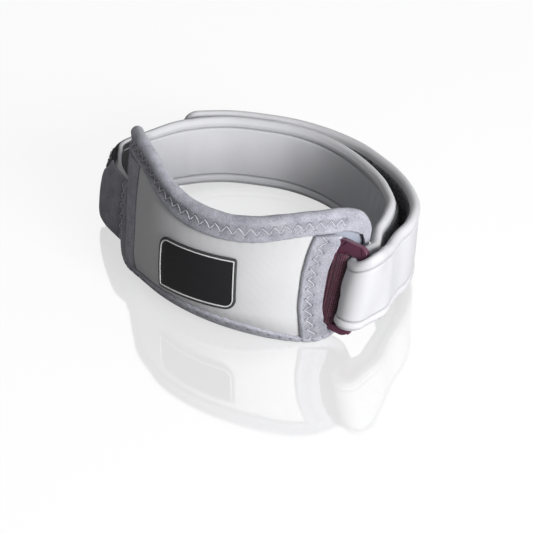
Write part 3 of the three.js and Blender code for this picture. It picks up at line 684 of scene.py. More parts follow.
def nap_group():
    """Brushed cloth: soft patches where the nap lies over, and its fibres"""
    tree, given, out = new_group(
        "cloth_nap",
        [("Vector", "Vector", None), ("Dark", "Color", (0.3, 0.3, 0.3, 1)), ("Light", "Color", (0.5, 0.5, 0.5, 1)),
         ("Patches", "Float", 220), ("Fibres", "Float", 1900)],
        [("Colour", "Color"), ("Height", "Float"), ("Roughness", "Float")])
    patches = noise_node(tree, given.outputs["Vector"], given.outputs["Patches"], 4)
    fibres = noise_node(tree, given.outputs["Vector"], given.outputs["Fibres"], 3)
    both = math_node(tree, "MULTIPLY_ADD", patches, 0.7, math_node(tree, "MULTIPLY", fibres, 0.9))
    share = range_node(tree, both, 0.55, 1.05)
    feed(tree, out, Colour=mix_node(tree, share, given.outputs["Dark"], given.outputs["Light"]), Height=both,
         Roughness=math_node(tree, "MULTIPLY_ADD", patches, 0.2, 0.75))
    return tree


def knit_group():
    """Fine knit on the cloth's flat map: columns of small slanted loops"""
    found = bpy.data.node_groups.get("cloth_knit")
    if found:
        return found
    tree, given, out = new_group(
        "cloth_knit", [("Flat", "Vector", None), ("Wales", "Float", 1000), ("Courses", "Float", 1200)],
        [("Height", "Float"), ("Shade", "Float")])
    flat = axes_of(tree, given.outputs["Flat"])
    wale = math_node(tree, "FRACT", math_node(tree, "MULTIPLY", flat["X"], given.outputs["Wales"]))
    slant = math_node(tree, "ABSOLUTE", math_node(tree, "SUBTRACT", wale, 0.5))
    course = math_node(tree, "MULTIPLY_ADD", flat["Y"], given.outputs["Courses"], slant)
    leg, loops = (sine_node(tree, turns) for turns in (slant, course))
    height = math_node(tree, "MULTIPLY_ADD", leg, 0.7, math_node(tree, "MULTIPLY", loops, 0.3))
    feed(tree, out, Height=height, Shade=math_node(tree, "MULTIPLY_ADD", height, 0.35, 0.6))
    return tree


def weave_group():
    """Webbing on the cloth's flat map: yarns that pass over and under"""
    tree, given, out = new_group(
        "cloth_weave", [("Flat", "Vector", None), ("Yarns", "Float", 900)], [("Height", "Float")])
    flat = axes_of(tree, given.outputs["Flat"])
    turns = [math_node(tree, "MULTIPLY", flat[axis], given.outputs["Yarns"]) for axis in ("X", "Y")]
    waves = [sine_node(tree, each) for each in turns]
    feed(tree, out, Height=math_node(tree, "ABSOLUTE", math_node(tree, "MULTIPLY", *waves)))
    return tree


def new_material(name, **constants):
    material = bpy.data.materials.new(name)
    material.use_nodes = True
    tree = material.node_tree
    shader = tree.nodes["Principled BSDF"]
    feed(tree, shader, **constants)
    return material, tree, shader


def object_vector(tree):
    return add_node(tree, "ShaderNodeTexCoord").outputs["Object"]


def flat_vector(tree):
    return add_node(tree, "ShaderNodeUVMap", uv_map="cloth").outputs[0]


def shade_and_pile_mask(tree):
    # The seam mask: painted shade, and on the strap also its black pile side
    return add_node(tree, "ShaderNodeAttribute", attribute_name="seam").outputs["Fac"]


def bump(tree, shader, height, distance, strength=1.0):
    node = add_node(tree, "ShaderNodeBump")
    feed(tree, node, Height=height, Distance=distance, Strength=strength)
    feed(tree, shader, Normal=node.outputs[0])


def shades(base, *shares):
    """The colour, made darker or lighter by each share"""
    return [(*(min(1, part * share) for part in base), 1) for share in shares]


def velour_material(cloth):
    found = bpy.data.materials.get("velour_nap")
    if found:
        return found
    material, tree, shader = new_material(
        "velour_nap", Sheen_Weight=0.2, Sheen_Roughness=0.5, Specular_IOR_Level=0.15)
    nap = add_node(tree, "ShaderNodeGroup", node_tree=nap_group())
    dark, shade_and_pile_tone = shades(cloth.velour_dark, 1, 0.25)
    feed(tree, nap, Vector=object_vector(tree), Dark=dark, Light=shades(cloth.velour_light, 1)[0])
    # Painted shade: velour darkened to a quarter of its dark tone where the mask is set
    tint = mix_node(tree, shade_and_pile_mask(tree), nap.outputs["Colour"], shade_and_pile_tone)
    feed(tree, shader, Base_Color=tint, Roughness=nap.outputs["Roughness"])
    bump(tree, shader, nap.outputs["Height"], 0.0005, 0.7)
    return material


def knit_material(name, base, wales, courses, depth, sheen):
    material, tree, shader = new_material(
        name, Sheen_Weight=sheen, Sheen_Roughness=0.4, Specular_IOR_Level=0.25, Roughness=0.75)
    knit = add_node(tree, "ShaderNodeGroup", node_tree=knit_group())
    feed(tree, knit, Flat=flat_vector(tree), Wales=wales, Courses=courses)
    patches = noise_node(tree, object_vector(tree), 70, 3)
    lift = math_node(tree, "MULTIPLY_ADD", knit.outputs["Shade"], 0.7, math_node(tree, "MULTIPLY", patches, 0.5))
    dark, light, shade_and_pile_tone = shades(base, 0.8, 1.06, 0.04)
    # On the strap the mask paints near black: painted shade in its seam grooves and hollow, and the pile's own
    # black on its pile side
    feed(tree, shader, Base_Color=mix_node(tree, shade_and_pile_mask(tree), mix_node(tree, lift, dark, light), shade_and_pile_tone))
    bump(tree, shader, knit.outputs["Height"], depth * MM, 0.6)
    return material


def thread_material(sewing):
    found = bpy.data.materials.get("thread")
    if found:
        return found
    material, tree, shader = new_material("thread", Roughness=0.6, Sheen_Weight=0.2)
    twist = noise_node(tree, object_vector(tree), 2600, 2)
    feed(tree, shader, Base_Color=mix_node(tree, twist, *shades(sewing.thread_colour, 0.7, 1.2)))
    bump(tree, shader, twist, 0.0002)
    return material


def pile_material(name, base):
    material, tree, shader = new_material(name, Roughness=0.85, Sheen_Weight=0.15)
    fluff = noise_node(tree, object_vector(tree), 1500, 3)
    lit_fibre_speckle = math_node(tree, "MULTIPLY_ADD", fluff, 5, -2)
    # Painted highlights: light specks on the dark pile for fibres that catch the light
    feed(tree, shader, Base_Color=mix_node(tree, lit_fibre_speckle, *shades(base, 0.3, 2.2)))
    bump(tree, shader, fluff, 0.0004)
    return material


def webbing_material(cloth):
    material, tree, shader = new_material(
        "webbing_weave", Roughness=0.65, Sheen_Weight=0.2, Specular_IOR_Level=0.35)
    weave = add_node(tree, "ShaderNodeGroup", node_tree=weave_group())
    feed(tree, weave, Flat=flat_vector(tree), Yarns=620)
    height = weave.outputs["Height"]
    tint = mix_node(tree, height, *shades(cloth.webbing_dark, 1), *shades(cloth.webbing_light, 1))
    feed(tree, shader, Base_Color=tint)
    bump(tree, shader, height, 0.0004)
    return material


def moulded_material(name, base, roughness, grain_depth, grain_scale=2600, coat=0.0):
    """Moulded plastic or rubber: fine grain, and handling marks in the gloss"""
    material, tree, shader = new_material(
        name, Coat_Weight=coat, Coat_Roughness=0.12, Specular_IOR_Level=0.5)
    vector = object_vector(tree)
    marks = noise_node(tree, vector, 160, 4)
    grain = noise_node(tree, vector, grain_scale, 2)
    feed(tree, shader, Base_Color=mix_node(tree, marks, *shades(base, 0.8, 1.2)),
         Roughness=math_node(tree, "MULTIPLY_ADD", marks, 0.18, roughness - 0.09))
    bump(tree, shader, grain, grain_depth * MM, 0.5)
    return material


# Pieces of the pad

class KNEEBRACE_OT_pad_body(bpy.types.Operator):
    """Foam pad with its lining, thickest behind the middle of the face"""
    bl_idname = "kneebrace.pad_body"
    bl_label = "Pad body"

    def execute(self, context):
        cloth = context.scene.brace_cloth
        reach = BODY_HEIGHTS.reach - 1
        u = np.linspace(-reach, reach, MESH["body"][0])[:, None]
        low, high = BODY_HEIGHTS.span(u)
        z = low + (high - low) * np.linspace(0, 1, MESH["body"][1])
        u = np.broadcast_to(u, z.shape)
        hump = np.maximum(0, 1 - (u / BODY_PADDING["half_width"]) ** 2)
        hump = hump * np.maximum(0, 1 - (z / BODY_PADDING["half_height"]) ** 2) ** 0.8
        edge = np.minimum(1, np.minimum(z - low, high - z) / BODY_EDGE["width"])
        thin = BODY_EDGE["thinner"] * (1 - np.sqrt(np.maximum(0, 1 - (1 - edge) ** 2)))
        over = pad_point(u, z, BODY_TOP + thin)
        under = pad_point(u, z, BODY_TOP + BODY_THICKNESS + BODY_PADDING["depth"] * hump - thin)
        piece = layer("pad_body_foam", over, under, np.stack([u, z], axis=-1))
        knit = knit_material("lining_knit", cloth.lining_colour, wales=1100, courses=1300,
                             depth=0.1, sheen=0.1)
        settle(piece, "lining", knit, "pad_body")
        return {"FINISHED"}


class KNEEBRACE_OT_pad_face(bpy.types.Operator):
    """Crowned knitted face panel, gathered a little where the binding is sewn over it"""
    bl_idname = "kneebrace.pad_face"
    bl_label = "Pad face"

    def execute(self, context):
        cloth = context.scene.brace_cloth
        sewing = context.scene.brace_sewing
        u = np.linspace(FACE_LEFT, FACE_RIGHT, MESH["face"][0])[:, None]
        bottom, top = FLANGE_HEIGHTS.span(u)
        low = np.maximum(bottom - FACE_UNDERLAP, EDGE_HEIGHTS.span(u)[0] + EDGE_ROLL)
        z = low + (top + FACE_UNDERLAP - low) * np.linspace(0, 1, MESH["face"][1])
        u = np.broadcast_to(u, z.shape)
        from_seam = np.maximum(0, np.minimum(z - bottom, top - z))
        turns = u / (sewing.zigzag_pitch / MM)
        gather = FACE_GATHER["depth"] * np.sin(2 * math.pi * turns + FACE_GATHER["slant"] * z)
        gather = gather * fade(from_seam, *FACE_GATHER["span"])
        over = pad_point(u, z, face_depth(u, z) - gather)
        under = pad_point(u, z, FACE_BOTTOM)
        piece = layer("pad_face_panel", over, under, np.stack([u, z], axis=-1))
        knit = knit_material("face_knit", cloth.face_colour, wales=1150, courses=1500,
                             depth=0.09, sheen=0.1)
        settle(piece, "face", knit, "pad_face")
        return {"FINISHED"}


def flange_seam(sewing, flange):
    """Middle and half width of the binding's zigzag on a flange of this height"""
    return FLANGE_SEAM["at"] * flange, np.minimum(sewing.zigzag_width / MM / 2, FLANGE_SEAM["half"] * flange)


def flange_depth(sewing, inward, flange, valley):
    """Depth of the binding's flat part: puffed up, and drawn in along its seam"""
    swell = np.sin(math.pi * np.clip(inward / (flange + 0.4), 0, 1)) ** 0.6
    return (sewing.press * valley - sewing.puff * swell) / MM


def seam_pull(u, z):
    """How much deeper than usual the binding's seam is drawn in: more along the top towards the left"""
    return 1 + SEAM_PULL["more"] * smooth(-u, *SEAM_PULL["to_left"]) * smooth(z, *SEAM_PULL["up"])


def roll_depth(inward):
    """Depth of the binding's outer face at a distance in from the pad's edge"""
    into = np.clip(EDGE_ROLL - inward, 0, EDGE_ROLL)
    return EDGE_ROLL - np.sqrt(EDGE_ROLL ** 2 - into ** 2)


class KNEEBRACE_OT_pad_binding(bpy.types.Operator):
    """Velour binding rolled round the pad's edge, with a zigzag seam at the top and needle dots at the base"""
    bl_idname = "kneebrace.pad_binding"
    bl_label = "Pad binding"

    def execute(self, context):
        cloth = context.scene.brace_cloth
        sewing = context.scene.brace_sewing
        turns = round(OUTLINE_CURVE.length / (sewing.zigzag_pitch / MM))
        pitch = OUTLINE_CURVE.length / turns
        phase = OUTLINE_TRAVEL / pitch
        flange = OUTLINE[:, 2:]
        middle, half = flange_seam(sewing, flange)
        below = OUTLINE[:, 1:2] < 0
        sewn = 1 - smooth(OUTLINE[:, :1], FLANGE_SEAM["ends_at"] - 3, FLANGE_SEAM["ends_at"])
        sewn = sewn * smooth(flange, FLANGE_SEAM["least_flange"] - 0.4, FLANGE_SEAM["least_flange"] + 0.4)
        drawn = seam_pull(OUTLINE[:, :1], OUTLINE[:, 1:2])

        part = np.linspace(1, 0, 28)
        wave = BINDING_UNEVEN["wave"] * np.sin(2 * math.pi * phase + 0.7)[:, None] * smooth(part, 0.7, 1)
        inward = EDGE_ROLL + (flange - EDGE_ROLL) * part + wave
        valley, thread, hole = (
            sewn * near for near in stitched(OUTLINE_TRAVEL[:, None], inward, pitch, middle, half))
        from_dot = np.hypot((phase - np.round(phase))[:, None] * pitch, inward - FLANGE_SEAM["dots_at"] * flange)
        dot = np.exp(-(from_dot / STITCH["dot_radius"]) ** 2)
        base = FLANGE_SEAM["base_share"]
        valley, thread, hole = (
            np.where(below, under, near) for under, near in ((base * valley, valley), (0, thread), (dot, hole)))
        depth = flange_depth(sewing, inward, flange, valley * drawn)
        depth = depth + BINDING_UNEVEN["edge_drop"] * smooth(part, 0.9, 1) + dented(thread, hole)
        roll = np.linspace(0, math.pi, 17)[1:]
        lump = 1 + BINDING_UNEVEN["lump"] * np.sin(2 * math.pi * phase * BINDING_UNEVEN["lumps"])[:, None]
        round_in = EDGE_ROLL - EDGE_ROLL * lump * np.sin(roll)
        round_depth = EDGE_ROLL - EDGE_ROLL * np.cos(roll) + depth[:, -1:] * (1 + np.cos(roll)) / 2
        tail = np.linspace(EDGE_ROLL, INNER_FLANGE, 5)[1:]
        ones = np.ones((len(OUTLINE), 1))
        outer_in = np.hstack([inward, round_in, tail * ones])
        outer_depth = np.hstack([depth, round_depth, np.full_like(tail, 2 * EDGE_ROLL) * ones])

        small = EDGE_ROLL - BINDING_WALL
        inner_in = np.hstack([inward, (EDGE_ROLL - small * np.sin(roll)) * ones, tail * ones])
        inner_depth = np.hstack([
            np.maximum(BINDING_WALL, depth + BINDING_WALL * 0.6),
            (EDGE_ROLL - small * np.cos(roll)) * ones,
            np.full_like(tail, 2 * EDGE_ROLL - BINDING_WALL) * ones])

        def place(inward_by, depth_by, wall):
            u = OUTLINE[:, :1] + INWARD[:, :1] * inward_by
            z = OUTLINE[:, 1:2] + INWARD[:, 1:] * inward_by
            return rested(pad_point(u, z, depth_by), wall)

        over = place(outer_in, outer_depth, 0)
        under = place(inner_in, inner_depth, BINDING_WALL)
        run = np.linalg.norm(np.diff(over, axis=1), axis=2)
        across = np.hstack([np.zeros((len(over), 1)), np.cumsum(run, axis=1)])
        flat = np.stack([np.broadcast_to(OUTLINE_TRAVEL[:, None], across.shape), across], axis=-1)
        shade = np.zeros(across.shape)
        # Painted shade: the seam valley darker the deeper the seam is pulled, towards the top left, and the needle
        # holes and base dots dark
        pull = BINDING_SHADE["pull"] * drawn - BINDING_SHADE["less"]
        shade[:, :len(part)] = np.clip(pull * valley + BINDING_SHADE["hole"] * hole, 0, 1)
        piece = layer("pad_binding_velour", over, under, flat, closed=True, seam=shade)
        settle(piece, "velour", velour_material(cloth), "pad_binding")

        def surface(places):
            row = places * pitch / OUTLINE_STEP
            wrap = np.vstack([OUTLINE, OUTLINE[:1]])
            inside = np.vstack([INWARD, INWARD[:1]])
            rows = np.arange(len(wrap))
            u, z, height = (np.interp(row, rows, wrap[:, i]) for i in range(3))
            turn_u, turn_z = (np.interp(row, rows, inside[:, i]) for i in range(2))
            centre, reach = flange_seam(sewing, height)
            inward_by = centre + reach * zigzag(places)
            drawn_in = seam_valley(inward_by - centre, reach) * seam_pull(u, z)
            sewn_here = (u < FLANGE_SEAM["ends_at"]) & (height > FLANGE_SEAM["least_flange"]) & (z > 0)
            level = roll_depth(inward_by) + flange_depth(sewing, inward_by, height, drawn_in)
            at_u = u + turn_u * inward_by
            at_z = z + turn_z * inward_by
            return rested(pad_point(at_u, at_z, level)), pad_outward(at_u, at_z), sewn_here

        stitches = zigzag_threads("pad_binding_stitches", surface, turns, sewing)
        return {"FINISHED"}


class KNEEBRACE_OT_side_strips(bpy.types.Operator):
    """Velour strips sewn over the ends of the face panel, the right one with a zigzag seam"""
    bl_idname = "kneebrace.side_strips"
    bl_label = "Side strips"

    def execute(self, context):
        cloth = context.scene.brace_cloth
        sewing = context.scene.brace_sewing
        press = sewing.press / MM * STITCH["light_press"]
        reach = sewing.zigzag_width / MM / 2 * 0.9

        for strip in STRIPS:
            name = strip["name"]
            side = strip["side"]
            edges = SmoothCurve(strip["edges"]).at(np.linspace(0, 1, 200))

            def strip_place(part, across):
                inner, outer, lift = (np.interp(part, edges[:, 0], edges[:, i]) for i in (1, 2, 3))
                u = inner + (outer - inner) * across
                low, high = FLANGE_HEIGHTS.span(u)
                z = low + GAP + (high - low - 2 * GAP) * part
                return u, z, outer - inner, strip["depth"] - lift * across ** 2

            def strip_top(across, raised):
                return raised - STRIP_THICKNESS - strip["puff"] * np.sin(math.pi * across) ** 0.6

            part = np.linspace(0, 1, MESH["strip"][0])[:, None]
            across = np.linspace(0, 1, MESH["strip"][1])[None]
            u, z, width, raised = strip_place(part, across)
            tall = z[-1, 0] - z[0, 0]
            turns = round(tall / (sewing.zigzag_pitch / MM))
            valley, thread, hole = (strip["sewn"] * near for near in stitched(
                part * tall, across * width, tall / turns, STRIP_SEAM_AT * width, reach))
            edge = strip["rolled"] * (1 - smooth(across, 0, strip["roll"]))
            edge = edge + STRIP_EDGE["drop"] * smooth(across, STRIP_EDGE["from"], 1)
            top = strip_top(across, raised) + press * valley + dented(thread, hole) + edge
            over = pad_point(side * u, z, top)
            under = pad_point(side * u, z, raised)
            # Painted shade: the left strip darker all over, darker seam valley and needle holes, and a shadow line
            # at the inner edge
            shade = strip["shade"] + STITCH["valley_shade"] * valley + STRIP_EDGE["hole_shade"] * hole
            shade = shade + STRIP_EDGE["shade"] * (1 - smooth(across, 0, STRIP_EDGE["shade_width"]))
            piece = layer(f"{name}_velour", over, under, np.stack([u, z], axis=-1), seam=np.clip(shade, 0, 1))
            settle(piece, "velour", velour_material(cloth), name)

            def surface(places):
                at = places / turns
                over_at = STRIP_SEAM_AT + reach * zigzag(places) / strip_place(at, 0.0)[2]
                at_u, at_z, wide, base = strip_place(at, over_at)
                pulled = press * seam_valley((over_at - STRIP_SEAM_AT) * wide, reach)
                points = pad_point(side * at_u, at_z, strip_top(over_at, base) + pulled)
                return points, pad_outward(side * at_u, at_z), True

            stitches = [zigzag_threads(f"{name}_stitches", surface, turns, sewing)] if strip["sewn"] else []
        return {"FINISHED"}


# Label

def label_half_height(across, top):
    corner = np.where((across < 0) == top, LABEL_ROUND_CORNER, LABEL_SHARP_CORNER)
    into = np.maximum(0, np.abs(across) - (LABEL["width"] / 2 - corner))
    return LABEL["height"] / 2 - corner + np.sqrt(np.maximum(0, corner ** 2 - into ** 2))


def from_label_edge(x, y):
    """Distance in from the label's edge, whose corners are rounded two and two"""
    corner = np.where(x * y < 0, LABEL_ROUND_CORNER, LABEL_SHARP_CORNER)
    past_x = np.abs(x) - LABEL["width"] / 2 + corner
    past_y = np.abs(y) - LABEL["height"] / 2 + corner
    outside = np.hypot(np.maximum(0, past_x), np.maximum(0, past_y))
    return corner - outside - np.minimum(0, np.maximum(past_x, past_y))


def read_points(mesh):
    points = np.empty(len(mesh.vertices) * 3)
    mesh.vertices.foreach_get("co", points)
    return points.reshape(-1, 3)


def write_points(mesh, points):
    mesh.vertices.foreach_set("co", np.asarray(points).ravel())
    mesh.update()


def lay_on_face(piece):
    """Bends a piece drawn flat, in metres about the label's middle, on to the face panel"""
    across, height, lift = (read_points(piece.data) / MM).T
    u = LABEL["u"] + across - LABEL["turn"] * height
    z = LABEL["z"] + height + LABEL["turn"] * across
    write_points(piece.data, in_row(on_face(u, z, lift)))


def choose(mesh, mode, wanted):
    """Selects the points, edges or faces for which wanted is true, in edit mode"""
    bpy.ops.object.mode_set(mode="EDIT")
    bpy.ops.mesh.select_mode(type=mode)
    bpy.ops.mesh.select_all(action="DESELECT")
    bpy.ops.object.mode_set(mode="OBJECT")
    for item in {"VERT": mesh.vertices, "EDGE": mesh.edges, "FACE": mesh.polygons}[mode]:
        item.select = bool(wanted(item))
    bpy.ops.object.mode_set(mode="EDIT")


def modify(piece, kind, **values):
    """Applies a modifier to the active piece"""
    modifier = piece.modifiers.new(kind.lower(), kind)
    for name, value in values.items():
        setattr(modifier, name, value)
    bpy.ops.object.modifier_apply(modifier=modifier.name)


class KNEEBRACE_OT_label(bpy.types.Operator):
    """Moulded rubber label with a raised rim, bare inside its thin line"""
    bl_idname = "kneebrace.label"
    bl_label = "Label"

    def execute(self, context):
        fittings = context.scene.brace_fittings
        bpy.ops.object.select_all(action="DESELECT")
        columns, rows = MESH["label"]
        bpy.ops.mesh.primitive_grid_add(x_subdivisions=columns, y_subdivisions=rows, size=1)
        patch = context.object
        patch.name = "label_patch_rubber"
        points = read_points(patch.data)
        x = LABEL["width"] / 2 * np.sin(math.pi * points[:, 0])
        up = np.sin(math.pi * points[:, 1])
        y = up * label_half_height(x, up > 0)
        inside = np.maximum(0, from_label_edge(x, y))
        rounded = np.sqrt(smooth(inside, *LABEL["edge_round"]))
        lift = LABEL["edge"] + (LABEL["thickness"] - LABEL["edge"]) * rounded
        lift = lift - LABEL["recess"] * smooth(inside, LABEL_LINE["inset"], LABEL["recessed_at"])
        write_points(patch.data, np.stack([x, y, lift], axis=1) * MM)
        for polygon in patch.data.polygons:
            polygon.material_index = int(inside[list(polygon.vertices)].max() < LABEL_LINE["inset"])
        lay_on_face(patch)
        modify(patch, "SOLIDIFY", thickness=LABEL["edge"] * MM, offset=-1)
        bpy.ops.object.shade_smooth_by_angle(angle=math.radians(50))
        rubber = moulded_material("label_rubber", fittings.label_colour, 0.5, grain_depth=0.05)
        settle(patch, "label", rubber, "label_patch")
        rim = moulded_material("label_rim_rubber", fittings.rim_colour, 0.42, grain_depth=0.04)
        patch.data.materials.append(rim)
        return {"FINISHED"}


class KNEEBRACE_OT_label_line(bpy.types.Operator):
    """Thin raised line inside the label's rim"""
    bl_idname = "kneebrace.label_line"
    bl_label = "Label line"

    def execute(self, context):
        fittings = context.scene.brace_fittings
        wide = LABEL["width"] - 2 * LABEL_LINE["inset"]
        tall = LABEL["height"] - 2 * LABEL_LINE["inset"]
        bpy.ops.object.select_all(action="DESELECT")
        bpy.ops.mesh.primitive_plane_add(size=1)
        line = context.object
        line.name = "label_line_rubber"
        mesh = line.data
        points = read_points(mesh) * (wide * MM, tall * MM, 1)
        points[:, 2] = (LABEL["thickness"] - LABEL["recess"]) * MM
        write_points(mesh, points)
        round_corner = LABEL_ROUND_CORNER - LABEL_LINE["inset"]
        choose(mesh, "VERT", lambda v: v.co.x * v.co.y < 0)
        bpy.ops.mesh.bevel(offset=round_corner * MM, segments=10, affect="VERTICES")
        choose(mesh, "VERT", lambda v: v.co.x * v.co.y > 0 and abs(v.co.x) > 0.4999 * wide * MM
               and abs(v.co.y) > 0.4999 * tall * MM)
        bpy.ops.mesh.bevel(offset=LABEL_SHARP_CORNER / 2 * MM, segments=4, affect="VERTICES")
        bpy.ops.mesh.select_all(action="SELECT")
        bpy.ops.mesh.inset(thickness=LABEL_LINE["width"] * MM)
        bpy.ops.mesh.delete(type="FACE")
        bpy.ops.object.mode_set(mode="OBJECT")
        points = read_points(mesh)
        ends = np.array([edge.vertices[:] for edge in mesh.edges])
        spans = np.linalg.norm(points[ends[:, 0]] - points[ends[:, 1]], axis=1)
        choose(mesh, "EDGE", lambda edge: spans[edge.index] > 4 * MM)
        bpy.ops.mesh.subdivide(number_cuts=14)
        bpy.ops.mesh.select_all(action="SELECT")
        bpy.ops.mesh.extrude_region_move(TRANSFORM_OT_translate={"value": (0, 0, LABEL_LINE["height"] * MM)})
        bpy.ops.mesh.select_all(action="SELECT")
        bpy.ops.mesh.normals_make_consistent(inside=False)
        bpy.ops.object.mode_set(mode="OBJECT")
        lay_on_face(line)
        modify(line, "BEVEL", width=0.12 * MM, segments=3)
        bpy.ops.object.shade_smooth_by_angle(angle=math.radians(40))
        white = moulded_material("label_line_white", fittings.line_colour, 0.5, grain_depth=0.02)
        settle(line, "label_line", white, "label_line")
        return {"FINISHED"}


# Strap

def strap_outline(width, thick):
    """Section of the strap: crowned smooth face with a seam beside each rolled rim, and a flat pile side"""
    half = width / 2
    seam = half - SEAM_FROM_EDGE
    reach = half - thick
    beside = np.linspace(-1.3, 1.3, 13)
    right = np.concatenate([
        np.linspace(0.5, max(0.6, seam - 1.9), 11), seam + beside, np.linspace(seam + 1.7, reach, 7)])
    face = np.clip(np.concatenate([-right[::-1], right]), -reach, reach)
    crown = STRAP_CROWN * np.maximum(0, 1 - (face / max(seam, 1e-6)) ** 2)
    from_top = (np.abs(face) - seam - RIM_SWELL["from_seam"]) / RIM_SWELL["width"]
    rim_swell = RIM_SWELL["height"] * np.exp(-from_top ** 2)
    groove = SEAM_DEPTH * np.exp(-((np.abs(face) - seam) / SEAM_HALF_WIDTH) ** 2)
    smooth_face = np.stack([face, -thick - crown - rim_swell + groove], axis=1)
    turn = np.linspace(-math.pi / 2, math.pi / 2, 15)[1:-1]
    rim = np.stack([half - thick + thick * np.cos(turn), thick * np.sin(turn)], axis=1)
    back = np.linspace(reach, -reach, len(face))
    pile_side = np.stack([back, np.full(len(face), thick)], axis=1)
    other = rim[::-1] * (-1, 1)
    return np.vstack([smooth_face, rim, pile_side, other])


def strap_wrinkles(travel, across):
    """Upright wrinkles inside the bend that leads to the ring, and faint ones round the rest of the loop"""
    middle = STRAP_CURVE.at(STRAP_CURVE.share_at(travel))
    inner = travel < FOLD_AT - 2
    bend = smooth(middle[..., 0], 18, 40) * inner
    drift = 1.6 * np.sin(across * 0.21) + 0.9 * np.sin(across * 0.47 + 1)
    wave = np.sin((travel + drift) * 1.02) + 0.7 * np.sin((travel - 1.4 * drift) * 0.63 + 2)
    between_rims = 1 - smooth(np.abs(across), 8.5, 11.5)
    faint = 0.12 * np.sin(travel * 0.34 + 0.1 * across) * np.sin(travel * 0.083 + 1)
    return (0.5 * bend * wave + faint) * between_rims


class KNEEBRACE_OT_strap(bpy.types.Operator):
    """Padded strap from the pad round the leg, through the ring and back over itself"""
    bl_idname = "kneebrace.strap"
    bl_label = "Strap"

    def execute(self, context):
        cloth = context.scene.brace_cloth
        travel = np.concatenate([
            STRAP_END_STEPS, np.arange(6, STRAP_LENGTH - 5.5, 1.2), STRAP_LENGTH - STRAP_END_STEPS[::-1]])
        left = np.minimum(travel, STRAP_LENGTH - travel)
        taper = np.sqrt(np.maximum(0.02, 1 - np.maximum(0, 1 - left / STRAP_END_ROUND) ** 2))
        into = np.maximum(0, FREE_END_CORNER - (STRAP_LENGTH - travel))
        narrow = FREE_END_CORNER - np.sqrt(np.maximum(0, FREE_END_CORNER ** 2 - into ** 2))
        outlines = np.stack([strap_outline(STRAP_WIDTH - 2 * n, STRAP_THICKNESS / 2) for n in narrow])
        across, level = outlines[:, :, 0], outlines[:, :, 1]
        along = np.broadcast_to(travel[:, None], level.shape)
        wrinkle = strap_wrinkles(along, across) * smooth(-level, 0.9, 1.6) * (cloth.wrinkle_depth / MM)
        points = on_strap(along, across, (level + wrinkle) * taper[:, None])
        steps = np.linalg.norm(np.diff(outlines, axis=1), axis=2)
        round_it = np.hstack([np.zeros((len(travel), 1)), np.cumsum(steps, axis=1)])
        # Painted shade on the smooth face: a dark line along each seam groove, partly the seam's stitch line, and
        # near black in the hollow by the sewn end. The pile side is painted black as the pile's own colour
        line = np.exp(-((np.abs(across) - STRAP_WIDTH / 2 + SEAM_FROM_EDGE) / 0.3) ** 2)
        hollow = (1 - smooth(travel, *STRAP_SHADE_AND_PILE["hollow"]))[:, None] * smooth(-level, 0.9, 1.5)
        pile_edge = fade(travel, *STRAP_SHADE_AND_PILE["pile_edge"])[:, None] * smooth(level, 0.1, 0.7)
        shade = np.maximum(0.5 * line * smooth(-level, 0.9, 1.2), np.maximum(hollow, pile_edge))
        piece = skin("strap_padded", points, np.stack([round_it, along], axis=-1), angle=60, seam=shade)
        knit = knit_material("strap_knit", cloth.strap_colour, wales=1500, courses=1900,
                             depth=0.06, sheen=0.15)
        settle(piece, "strap", knit, "strap")
        return {"FINISHED"}


def cover_end(across):
    """How far along the strap the cover reaches: less at its upper corner"""
    return COVER["length"] * (1 - COVER["corner"] * smooth(across, 1, COVER["width"] / 2))


def strap_layer(name, start, end, width, low, high):
    """A layer of cloth on the strap, whose start is a function of the place across it"""
    across = np.linspace(-width / 2, width / 2, 20)[None]
    first = start(across)
    rows = max(2, round((end - first.min()) / 1.4) + 1)
    travel = first + (end - first) * np.linspace(0, 1, rows)[:, None]
    along, over = np.broadcast_arrays(travel, across)
    return layer(name, on_strap(along, over, high), on_strap(along, over, low), np.stack([over, along], axis=-1))


